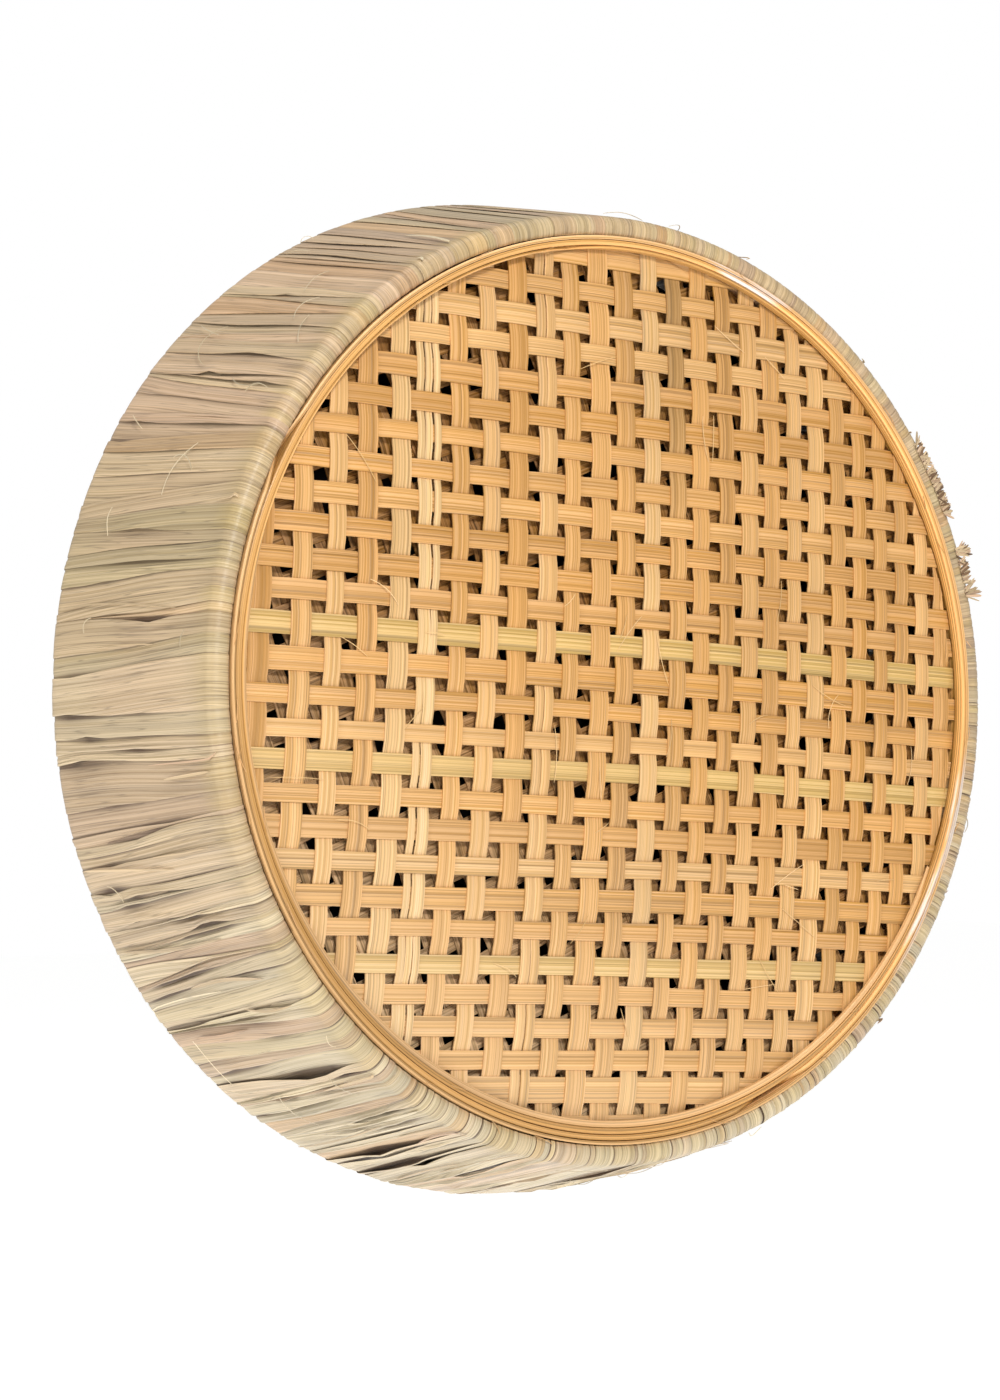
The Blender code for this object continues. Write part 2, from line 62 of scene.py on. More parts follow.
def linear(hex_colour: str) -> tuple[float, float, float]:
    """Turn an sRGB hex colour into linear light.

    Args:
        hex_colour: six hex digits, such as "E7BA80".

    Returns:
        Red, green and blue from 0 to 1.
    """
    channels = [int(hex_colour[start : start + 2], 16) / 255.0 for start in (0, 2, 4)]
    return tuple(c / 12.92 if c <= 0.04045 else ((c + 0.055) / 1.055) ** 2.4 for c in channels)


def add(
    tree: bpy.types.NodeTree, kind: str, inputs: dict | None = None, **settings: object
) -> bpy.types.Node:
    """Add one node, set it up and link it.

    Args:
        tree: node tree of the material.
        kind: Blender's name for the node type.
        inputs: socket name or number to a value, or to the output socket that feeds it.
        **settings: properties of the node itself.

    Returns:
        The new node.
    """
    node = tree.nodes.new(kind)
    for name, value in settings.items():
        setattr(node, name, value)
    for name, value in (inputs or {}).items():
        if isinstance(value, bpy.types.NodeSocket):
            tree.links.new(value, node.inputs[name])
        else:
            node.inputs[name].default_value = value
    return node


def blank_material(name: str) -> tuple[bpy.types.Material, bpy.types.NodeTree, bpy.types.Node]:
    """Make an empty Principled material.

    Args:
        name: what the finish is.

    Returns:
        The material, its node tree and its Principled node.
    """
    material = bpy.data.materials.new(name)
    material.use_nodes = True
    tree = material.node_tree
    return material, tree, tree.nodes["Principled BSDF"]


@dataclass(frozen=True)
class PlantFinish:
    """Finish of a split plant strip: lengthwise grain over each strip's own dye.

    The strips carry a UV map "grain" (across, along, in metres) and a colour attribute "dye".
    """

    name: str
    line_width: float
    line_length: float
    line_depth: float
    streak_width: float
    streak_depth: float
    thread_length: float
    thread_depth: float
    roughness: float
    relief: float
    coat: float = 0.0
    sheen: float = 0.0

    def material(self) -> bpy.types.Material:
        """Build the node material.

        Four noises stretched along the grain give fine fibre lines, broad streaks, short pores and thin dark
        threads. The colour is the dye times lines, streaks and threads; the relief is lines plus pores.

        Returns:
            The finish as a Blender material.
        """
        made, tree, shader = blank_material(self.name)
        dye = add(tree, "ShaderNodeAttribute", attribute_name="dye")
        grain = add(tree, "ShaderNodeUVMap", uv_map="grain").outputs["UV"]
        layers = {}
        for layer, width, length, detail in (
            ("fine", self.line_width, self.line_length, 3.0),
            ("broad", self.streak_width, 2.5 * self.line_length, 2.0),
            ("pores", 0.5 * self.line_width, 0.12 * self.line_length, 2.0),
            ("vessels", 2.4 * self.line_width, self.thread_length, 1.0),
        ):
            scale = (1.0 / width, 1.0 / length, 1.0)
            place = add(tree, "ShaderNodeMapping", {"Vector": grain, "Scale": scale})
            inputs = {"Vector": place.outputs["Vector"], "Scale": 1.0, "Detail": detail, "Roughness": 0.6}
            layers[layer] = add(tree, "ShaderNodeTexNoise", inputs, noise_dimensions="2D").outputs[0]
        centred = add(tree, "ShaderNodeMath", {0: layers["vessels"], 1: 0.5}, operation="SUBTRACT").outputs[0]
        layers["threads"] = add(tree, "ShaderNodeMath", {0: centred}, operation="ABSOLUTE").outputs[0]
        uses = {}
        for use, layer, low, high, first, last in (
            ("lines", "fine", 0.34, 0.60, 1.0 - self.line_depth, 1.0 + 0.35 * self.line_depth),
            ("streaks", "broad", 0.35, 0.65, 1.0 - self.streak_depth, 1.0 + self.streak_depth),
            ("threads", "threads", 0.004, 0.035, 1.0 - self.thread_depth, 1.0),
            ("warmth", "fine", 0.30, 0.62, 1.12, 0.96),
            ("rough", "pores", 0.3, 0.7, self.roughness + 0.1, self.roughness - 0.1),
        ):
            span = {"From Min": low, "From Max": high, "To Min": first, "To Max": last}
            uses[use] = add(tree, "ShaderNodeMapRange", {"Value": layers[layer], **span}).outputs["Result"]
        tones = {0: uses["lines"], 1: uses["streaks"]}
        value = add(tree, "ShaderNodeMath", tones, operation="MULTIPLY").outputs[0]
        value = add(tree, "ShaderNodeMath", {0: value, 1: uses["threads"]}, operation="MULTIPLY").outputs[0]
        shades = {"Color": dye.outputs["Color"], "Value": value, "Saturation": uses["warmth"]}
        colour = add(tree, "ShaderNodeHueSaturation", shades)
        rises = {0: layers["fine"], 1: layers["pores"]}
        height = add(tree, "ShaderNodeMath", rises, operation="ADD").outputs[0]
        bump = add(tree, "ShaderNodeBump", {"Height": height, "Strength": 1.0, "Distance": self.relief})
        tree.links.new(colour.outputs["Color"], shader.inputs["Base Color"])
        tree.links.new(uses["rough"], shader.inputs["Roughness"])
        tree.links.new(bump.outputs["Normal"], shader.inputs["Normal"])
        shader.inputs["Coat Weight"].default_value = self.coat
        shader.inputs["Coat Roughness"].default_value = 0.25
        shader.inputs["Sheen Weight"].default_value = self.sheen
        return made


@dataclass(frozen=True)
class ShopFinish:
    """Finish of a bought metal, plastic, rubber or glass part: an even colour with fine grit."""

    name: str
    colour: str
    roughness: float
    grit: float
    metallic: float = 0.0
    relief: float = 0.02 * MM
    clear: float = 0.0
    wear: float = 1.0 / 60.0

    def material(self) -> bpy.types.Material:
        """Build the node material: noise the size of the grit drives roughness and a low relief.

        A second noise, `wear` across, takes the colour a little down and up from its even tone.

        Returns:
            The finish as a Blender material.
        """
        made, tree, shader = blank_material(self.name)
        base = linear(self.colour)
        place = add(tree, "ShaderNodeTexCoord").outputs["Object"]
        noise_inputs = {"Vector": place, "Scale": 1.0 / self.grit, "Detail": 3.0}
        grit = add(tree, "ShaderNodeTexNoise", noise_inputs).outputs[0]
        wear_inputs = {"Vector": place, "Scale": 1.0 / self.wear, "Detail": 2.0}
        worn = add(tree, "ShaderNodeTexNoise", wear_inputs).outputs[0]
        darker = (*[0.82 * c for c in base], 1.0)
        lighter = (*[min(1.0, 1.12 * c) for c in base], 1.0)
        # Sockets 6 and 7 of a Mix node are its two colours.
        tone = add(tree, "ShaderNodeMix", {0: worn, 6: darker, 7: lighter}, data_type="RGBA").outputs[2]
        ends = {"Value": grit, "To Min": max(0.02, self.roughness - 0.08), "To Max": self.roughness + 0.08}
        rough = add(tree, "ShaderNodeMapRange", ends).outputs["Result"]
        bump = add(tree, "ShaderNodeBump", {"Height": grit, "Strength": 1.0, "Distance": self.relief})
        tree.links.new(tone, shader.inputs["Base Color"])
        tree.links.new(rough, shader.inputs["Roughness"])
        tree.links.new(bump.outputs["Normal"], shader.inputs["Normal"])
        shader.inputs["Metallic"].default_value = self.metallic
        shader.inputs["Transmission Weight"].default_value = self.clear
        return made


# Split bamboo, scraped flat and left bare: straight fibre lines about a millimetre apart, satin.
BAMBOO_STRIP = PlantFinish(
    name="split_bamboo_scraped",
    line_width=0.75 * MM,
    line_length=900 * MM,
    line_depth=0.24,
    streak_width=3.0 * MM,
    streak_depth=0.08,
    thread_length=1400 * MM,
    thread_depth=0.32,
    roughness=0.5,
    relief=0.07 * MM,
)
# The same strips behind, painted browner and darker as painted shade, with stronger dark lines, and rougher.
BAMBOO_BACK = PlantFinish(
    name="split_bamboo_back_painted_shade",
    line_width=0.9 * MM,
    line_length=660 * MM,
    line_depth=0.42,
    streak_width=3.5 * MM,
    streak_depth=0.14,
    thread_length=900 * MM,
    thread_depth=0.45,
    roughness=0.6,
    relief=0.15 * MM,
)
# Thick bamboo splint bent wet and brushed with clear varnish: long darker fibre bundles under a thin gloss.
BAMBOO_SPLINT = PlantFinish(
    name="bent_bamboo_splint_varnished",
    line_width=0.8 * MM,
    line_length=1200 * MM,
    line_depth=0.36,
    streak_width=3.0 * MM,
    streak_depth=0.1,
    thread_length=1600 * MM,
    thread_depth=0.40,
    roughness=0.42,
    relief=0.15 * MM,
    coat=0.35,
)
# Raffia palm leaf, dried and wound by hand: papery with fine lengthwise creases and a faint silky sheen.
RAFFIA_LEAF = PlantFinish(
    name="dried_raffia_leaf",
    line_width=0.6 * MM,
    line_length=420 * MM,
    line_depth=0.22,
    streak_width=2.6 * MM,
    streak_depth=0.12,
    thread_length=80 * MM,
    thread_depth=0.34,
    roughness=0.45,
    relief=0.10 * MM,
    coat=0.06,
    sheen=0.1,
)

SHOP_FINISHES = {
    # Spun mild steel, powder coated matt black: a dark, finely pebbled skin.
    "black_steel": ShopFinish("mild_steel_powder_coated_black", "1B1918", 0.6, 0.6 * MM, 0.0, 0.05 * MM),
    # Zinc plated steel: cool grey metal with a soft shine.
    "zinc_steel": ShopFinish("steel_zinc_plated", "C4C6C4", 0.34, 1.2 * MM, 1.0),
    # Hardened spring strip, oiled: darker and a little glossier.
    "spring_steel": ShopFinish("spring_steel_oiled", "9A9B99", 0.28, 0.8 * MM, 1.0),
    # Moulded phenolic lampholder: near-black with a low gloss.
    "black_plastic": ShopFinish("phenolic_moulded_black", "201F1E", 0.42, 0.9 * MM),
    # Moulded white nylon and steatite: smooth, slightly warm white.
    "white_plastic": ShopFinish("nylon_moulded_white", "EFECE3", 0.38, 1.0 * MM),
    # Drawn and turned brass, unlacquered: warm metal with soft wear.
    "brass": ShopFinish("brass_turned", "D3AE62", 0.3, 0.7 * MM, 1.0),
    # Moulded black rubber: dull.
    "rubber": ShopFinish("rubber_moulded_black", "222120", 0.8, 0.6 * MM, 0.0, 0.05 * MM),
    # Blown soda-lime glass: clear and smooth.
    "glass": ShopFinish("soda_lime_glass_blown", "F6FAF8", 0.04, 6.0 * MM, 0.0, 0.0, 0.95),
}


class Palette(Enum):
    """Colours of the dried plant parts, as sRGB hex."""

    HONEY = "CF9D60"
    PALE = "E0BB86"
    AMBER = "C08C4C"
    GREENISH = "C8A86A"
    GREY_BROWN = "AE854F"
    BROWN_EDGE = "C48F50"
    # Painted shade: the back mat's strips, darker than the front's.
    BACK_PAINTED_SHADE = "94632B"
    SPLINT = "CD9A58"
    SPLINT_PALE = "D2A56E"
    SPLINT_DEEP = "BE8A4A"
    # Painted glint: near white, for light caught on the rim's adhesive smears.
    GLUE_GLINT = "E8E0DA"
    STRAW = "CBB18B"
    KHAKI = "BFAC82"
    PINK_TAN = "C2A283"
    ORANGE_TAN = "CB9D6C"
    CREAM = "D9C8A6"
    UMBER = "6E5236"
    # Painted shade: dark brown for the raffia's pockets, creases and tucked edges.
    PAINTED_SHADE_BROWN = "47290E"
    YELLOW = "CDB37A"
    # Painted light: the pale that the weave is mixed towards at the lower left.
    PAINTED_LIGHT_PALE = "E6C496"

    def light(self) -> Array:
        """The colour as a linear array of three."""
        return np.array(linear(self.value))


# ---------------------------------------------------------------- surfaces


def wander(
    rng: np.random.Generator, rows: int, along: Array, lengths: tuple[float, ...], size: float
) -> Array:
    """Slow random drift along each of several strips.

    It is a sum of sine waves, one per given length, each with a random phase and height, longer waves higher.

    Args:
        rng: random source.
        rows: how many strips.
        along: position along the strips, in the unit of the lengths: one row for all, or one per strip.
        lengths: wave lengths.
        size: about the greatest drift.

    Returns:
        Array of rows by samples.
    """
    along = np.broadcast_to(along, (rows, np.shape(along)[-1]))
    total = np.zeros(along.shape)
    for length in lengths:
        phase = rng.uniform(0.0, FULL_TURN, (rows, 1))
        height = rng.normal(1.0, 0.35, (rows, 1)) * length / sum(lengths)
        total += height * np.sin(FULL_TURN * along / length + phase)
    return size * total


def tube_faces(tubes: int, along: int, ring: int, looped: bool) -> Array:
    """Four-cornered faces of several closed tubes that all have the same grid.

    Vertex number is tube, then step along, then place round the ring, in row-major order. A ring is a front
    row of points followed by the back row in reverse, so an end is closed by faces between the two rows.

    Args:
        tubes: how many tubes.
        along: samples along each.
        ring: samples round each.
        looped: True if the last sample joins the first; otherwise both ends are closed.

    Returns:
        Array of faces by four vertex numbers.
    """
    here = np.arange(along if looped else along - 1)[:, None] * ring
    there = (here + ring) % (along * ring)
    place = np.arange(ring)
    after = (place + 1) % ring
    faces = np.stack([here + place, here + after, there + after, there + place], -1).reshape(-1, 4)
    if not looped:
        step = np.arange(ring // 2 - 1)
        back = ring - 1 - step
        first = np.stack([step + 1, step, back, back - 1], -1)
        last = first[:, ::-1] + (along - 1) * ring
        faces = np.concatenate([faces, first, last])
    return (faces[None] + (np.arange(tubes) * along * ring)[:, None, None]).reshape(-1, 4)


def signed_volume(points: Array, faces: Array) -> float:
    """Volume inside closed four-cornered faces: the sum of each corner triple's box product over six.

    Args:
        points: vertices by three.
        faces: faces by four vertex numbers.

    Returns:
        The volume, negative if the faces point inwards.
    """
    a, b, c, d = (points[faces[:, corner]] for corner in range(4))
    first, second = np.cross(b, c), np.cross(c, d)
    return float((np.einsum("ij,ij->i", a, first) + np.einsum("ij,ij->i", a, second)).sum() / 6.0)


@dataclass
class Bundle:
    """Closed strips of one piece: grids of points with their grain position and dye.

    The grids are (strips, along, ring, 3), (strips, along, ring, 2) and (strips, along, ring, 3).
    """

    points: Array
    grain: Array
    dye: Array
    looped: bool = False

    def arrays(self) -> tuple[Array, Array, Array, Array]:
        """Lay the grids out flat, with the faces turned outwards.

        Returns:
            Points, faces, grain and dye, one row for each point or face.
        """
        tubes, along, ring = self.points.shape[:3]
        points = self.points.reshape(-1, 3)
        faces = tube_faces(tubes, along, ring, self.looped)
        if signed_volume(points, faces) < 0.0:
            faces = faces[:, ::-1]
        return points, faces, self.grain.reshape(-1, 2), self.dye.reshape(-1, 3)


def make_piece(
    name: str,
    bundles: list[Bundle],
    material: bpy.types.Material,
    replaced: tuple[str, ...] = (),
    body: str = "shade",
) -> bpy.types.Object:
    """Put bundles of strips into one mesh object that rides on a body of the frame.

    Args:
        name: name of the piece.
        bundles: strips it is made of.
        material: its finish.
        replaced: CAD nodes that it stands for.
        body: CAD body that it rides on.

    Returns:
        The new object, at the origin.
    """
    parts = [bundle.arrays() for bundle in bundles]
    starts = np.cumsum([0, *[len(part[0]) for part in parts]])
    points = np.concatenate([part[0] for part in parts])
    faces = np.concatenate([part[1] + start for part, start in zip(parts, starts)])
    grain = np.concatenate([part[2] for part in parts])
    dye = np.concatenate([part[3] for part in parts])
    mesh = bpy.data.meshes.new(name)
    mesh.vertices.add(len(points))
    mesh.vertices.foreach_set("co", points.astype(np.float32).ravel())
    mesh.loops.add(faces.size)
    mesh.loops.foreach_set("vertex_index", faces.astype(np.int32).ravel())
    mesh.polygons.add(len(faces))
    mesh.polygons.foreach_set("loop_start", np.arange(0, faces.size, 4, dtype=np.int32))
    mesh.update(calc_edges=True)
    uv_map = mesh.uv_layers.new(name="grain")
    uv_map.data.foreach_set("uv", grain[faces.ravel()].astype(np.float32).ravel())
    colour = mesh.attributes.new("dye", "FLOAT_COLOR", "POINT")
    opaque = np.column_stack([dye, np.ones(len(dye))])
    colour.data.foreach_set("color", opaque.astype(np.float32).ravel())
    mesh.materials.append(material)
    mesh.shade_smooth()
    mesh.set_sharp_from_angle(angle=SHARP_ANGLE)
    piece = bpy.data.objects.new(name, mesh)
    bpy.context.scene.collection.objects.link(piece)
    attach(piece, body)
    if replaced:
        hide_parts(*replaced)
    LOG.info("%s: %d strips, %d faces", name, sum(b.points.shape[0] for b in bundles), len(faces))
    return piece


def dyed(base: Array, shape: tuple[int, ...]) -> Array:
    """Spread one colour per strip over a grid.

    Args:
        base: strips by three.
        shape: the grid's (strips, along, ring).

    Returns:
        Array of the grid's shape by three.
    """
    return np.broadcast_to(base[:, None, None, :], (*shape, 3)).copy()


def mixed(first: Array, second: Array, share: Array | float) -> Array:
    """Blend two colours: first where share is 0, second where it is 1."""
    share = np.asarray(share)[..., None]
    return first * (1.0 - share) + second * share


# ---------------------------------------------------------------- woven mats


class Run(Enum):
    """The two directions of strips in a woven mat."""

    UPRIGHT = "uprights"
    CROSSPIECE = "crosspieces"


@dataclass(frozen=True)
class Oddity:
    """What sets one strip of a mat apart from its neighbours.

    It is shifted sideways, widened, tinted from `begins` on (a share of the half chord, -1 to 1) and cut into
    `splits` strands.
    """

    shift: float = 0.0
    widen: float = 1.0
    colour: Palette | None = None
    splits: int = 1
    begins: float = -2.0


@dataclass
class WovenMat:
    """One plain-woven mat: strips that pass over and under each other, cut to a disc.

    A place on the mat is (u, v): u runs across the uprights and v up along them, both turned by `turn`. Each
    bow holds six amounts in millimetres: a shift, a stretch along u and one along v, and three bends.
    """

    side: str
    turn: float
    level: float
    seed: int
    first_upright: float
    first_crosspiece: float
    counts: tuple[range, range]
    oddities: dict[tuple[Run, int], Oddity]
    ground: Palette
    shades: tuple[Palette, Palette] = (Palette.PALE, Palette.AMBER)
    upright_pitch: float = 13.46 * MM
    crosspiece_pitch: float = 13.16 * MM
    upright_width: float = 8.3 * MM
    crosspiece_width: float = 8.1 * MM
    reach: float = 184.0 * MM
    thickness: float = 0.7 * MM
    swell: float = 0.45 * MM
    samples: int = 226
    bow_across: tuple[float, ...] = (0.0,) * 6
    bow_along: tuple[float, ...] = (0.0,) * 6
    # Share of painted light mixed in towards the lower left.
    painted_low_light: float = 0.42

    def places(self, run: Run) -> Array:
        """Nominal centre line of each strip of a run: the first one's place plus whole pitches.

        Args:
            run: direction of the strips.

        Returns:
            One place across the run for each strip.
        """
        if run is Run.UPRIGHT:
            return self.first_upright + self.upright_pitch * np.array(self.counts[0])
        return self.first_crosspiece - self.crosspiece_pitch * np.array(self.counts[1])

    def over(self, run: Run, number: Array, along: Array) -> Array:
        """How far a strip stands towards the front at each place along it, from -1 to 1.

        The phase is the strip's own number plus the number, counted as a fraction, of the crossing strip at
        that place. A cosine of half a turn per crossing is flattened with tanh, so that strips cross flat.

        Args:
            run: direction of the strips.
            number: strip numbers, with as many axes as the places.
            along: place along each strip.

        Returns:
            Array of the places' shape.
        """
        if run is Run.UPRIGHT:
            phase = number + (self.first_crosspiece - along) / self.crosspiece_pitch + 1.0
        else:
            phase = number + (along - self.first_upright) / self.upright_pitch
        return np.tanh(2.0 * np.cos(math.pi * phase)) / math.tanh(2.0)

    def strands(self, run: Run, rng: np.random.Generator) -> Array:
        """Every strand of a run; a strip with splits gives several.

        Args:
            run: direction of the strips.
            rng: random source.

        Returns:
            Strands by ten columns: number, centre, half width, share of the chord where the tint begins,
            colour (three) and tinted colour (three).
        """
        numbers = self.counts[0] if run is Run.UPRIGHT else self.counts[1]
        width = self.upright_width if run is Run.UPRIGHT else self.crosspiece_width
        rows = []
        for number, centre in zip(numbers, self.places(run)):
            odd = self.oddities.get((run, number), Oddity())
            full = width * rng.normal(1.0, 0.085) * odd.widen
            centre = centre + odd.shift + rng.normal(0.0, 0.35 * MM)
            share = rng.uniform(0.0, 0.65)
            colour = mixed(self.ground.light(), self.shades[rng.integers(2)].light(), share)
            tint = mixed(colour, odd.colour.light(), 0.85) if odd.colour else colour
            tone = rng.normal(1.0, 0.035)
            cuts = np.linspace(-full / 2.0, full / 2.0, odd.splits + 1)
            for low, high in zip(cuts, cuts[1:]):
                slit = 0.10 * MM if odd.splits > 1 else 0.0
                place, half = centre + (low + high) / 2.0, (high - low) / 2.0 - slit
                rows.append((number, place, half, odd.begins, *(colour * tone), *(tint * tone)))
        return np.array(rows)

    def bundle(self, run: Run) -> Bundle:
        """Strips of one run as ribbons of flat section that rise and dip at the crossings.

        Each centre line is straight with a slow drift, and both ends follow the disc's edge. The weave is
        painted paler towards the lower left, by a power of the distance that way, as painted light from
        below, and painted darker the other way, as painted shade.

        Args:
            run: direction of the strips.

        Returns:
            The strips' grids.
        """
        rng = np.random.default_rng(self.seed + (run is Run.CROSSPIECE))
        table = self.strands(run, rng)
        number, centre, half, begins = (table[:, column : column + 1] for column in range(4))
        count = len(number)
        share = np.linspace(-1.0, 1.0, self.samples)[None, :]
        chord = np.sqrt(np.maximum(self.reach**2 - np.abs(centre) ** 2, (12 * MM) ** 2))
        along = share * chord
        drift = wander(rng, count, along, (0.31, 0.17), 0.6 * MM)
        breadth = half * (1.0 + wander(rng, count, along, (0.33, 0.15), 0.05))
        across = np.array([-1.0, -0.88, 0.0, 0.88, 1.0])
        crown = np.array([-0.10, -0.02, 0.02, -0.02, -0.10]) * MM
        ring_across = np.concatenate([across, across[::-1]])
        ring_lift = np.concatenate([crown + self.thickness / 2.0, np.full(5, -self.thickness / 2.0)])
        side = centre[:, :, None] + drift[:, :, None] + breadth[:, :, None] * ring_across
        behind, ahead = self.ends(run, side)
        lengthwise = behind + (ahead - behind) * (0.5 + 0.5 * share[:, :, None])
        front = self.swell * self.over(run, number[:, :, None], lengthwise) + ring_lift
        points = self.placed(run, side, lengthwise, front)
        offset = rng.uniform(0.0, 5.0, (count, 1, 1, 2))
        grain = np.stack([side - centre[:, :, None], lengthwise], -1) + offset
        amount = np.clip((share - begins) / 0.3, 0.0, 1.0)[:, :, None] * np.ones(side.shape)
        dye = mixed(dyed(table[:, 4:7], side.shape), dyed(table[:, 7:10], side.shape), amount)
        patches = 1.0 + wander(rng, count, along, (0.21, 0.07, 0.03), 0.07)
        dye *= patches[:, :, None, None]
        # Painted light and shade: paler towards the lower left, darker towards the upper right.
        low_left = -(0.45 * points[..., 0] + 0.9 * points[..., 2]) / self.reach
        paleness = self.painted_low_light * np.clip(low_left, 0.0, 1.0) ** 1.3
        dye *= (1.0 - 0.08 * np.clip(-low_left, 0.0, 1.0))[..., None]
        dye = mixed(dye, Palette.PAINTED_LIGHT_PALE.light(), paleness)
        return Bundle(points, grain, dye)

    def bowed(self, run: Run, side: Array, lengthwise: Array) -> tuple[Array, Array]:
        """Places (u, v) of points on the strips of a run.

        Uprights have u = side and v = lengthwise, crosspieces the other way round. Handling has bowed the
        weave: each place shifts by a second-degree surface in u and v over the reach.

        Args:
            run: direction of the strips.
            side: distance across the run.
            lengthwise: distance along it.

        Returns:
            u and v.
        """
        u, v = (side, lengthwise) if run is Run.UPRIGHT else (lengthwise, side)
        p, q = u / self.reach, v / self.reach
        terms = np.stack([np.ones_like(p), p, q, p * p, p * q, q * q], -1)
        return u + terms @ np.array(self.bow_across) * MM, v + terms @ np.array(self.bow_along) * MM

    def ends(self, run: Run, side: Array) -> tuple[Array, Array]:
        """Where each place across the strips meets the disc's edge, behind and ahead.

        The first guess is the root of reach squared less side squared. Each round then adds most of what the
        bowed place still lacks of the reach.

        Args:
            run: direction of the strips.
            side: distance across the run.

        Returns:
            Two distances along the run, in the shape of `side`.
        """
        chord = np.sqrt(np.maximum(self.reach**2 - side**2, (6 * MM) ** 2))
        found = []
        for way in (-1.0, 1.0):
            far = chord
            for _ in range(8):
                missing = self.reach - np.hypot(*self.bowed(run, side, way * far))
                far = np.maximum(far + 0.8 * missing, 6 * MM)
            found.append(way * far)
        return found[0], found[1]

    def placed(self, run: Run, side: Array, lengthwise: Array, front: Array) -> Array:
        """Turn places on the mat into points.

        A place past the disc's edge is drawn back to it. Then x is u cos turn - v sin turn, z is u sin turn +
        v cos turn, and y is the mat's level less the distance towards the front.

        Args:
            run: direction of the strips.
            side: distance across the run.
            lengthwise: distance along it.
            front: distance towards the front.

        Returns:
            Array of the same shape by three.
        """
        u, v = self.bowed(run, side, lengthwise)
        draw = np.minimum(1.0, self.reach / np.maximum(np.hypot(u, v), MM))
        u, v = u * draw, v * draw
        cos, sin = math.cos(self.turn), math.sin(self.turn)
        return np.stack([u * cos - v * sin, self.level - front, u * sin + v * cos], -1)

    def build(self, finish: bpy.types.Material, slot: str) -> None:
        """Make both runs of the mat in place of their CAD layers.

        Args:
            finish: material of the strips.
            slot: material slot of the record; not used.
        """
        for run in Run:
            name = f"woven_{self.side}_{run.value}"
            make_piece(name, [self.bundle(run)], finish, (f"{self.side}_mat_{run.value}",))


# ---------------------------------------------------------------- rim of bent splints


@dataclass(frozen=True)
class Lamination:
    """One bent splint of the rim, between two shares of the space from the inner edge to the outer edge.

    It starts at the angle `start` and goes on for `sweep`, both in degrees.
    """

    inner_share: float
    outer_share: float
    front: float
    back: float
    start: float
    sweep: float
    colour: Palette
    taper: float = 30.0 * MM


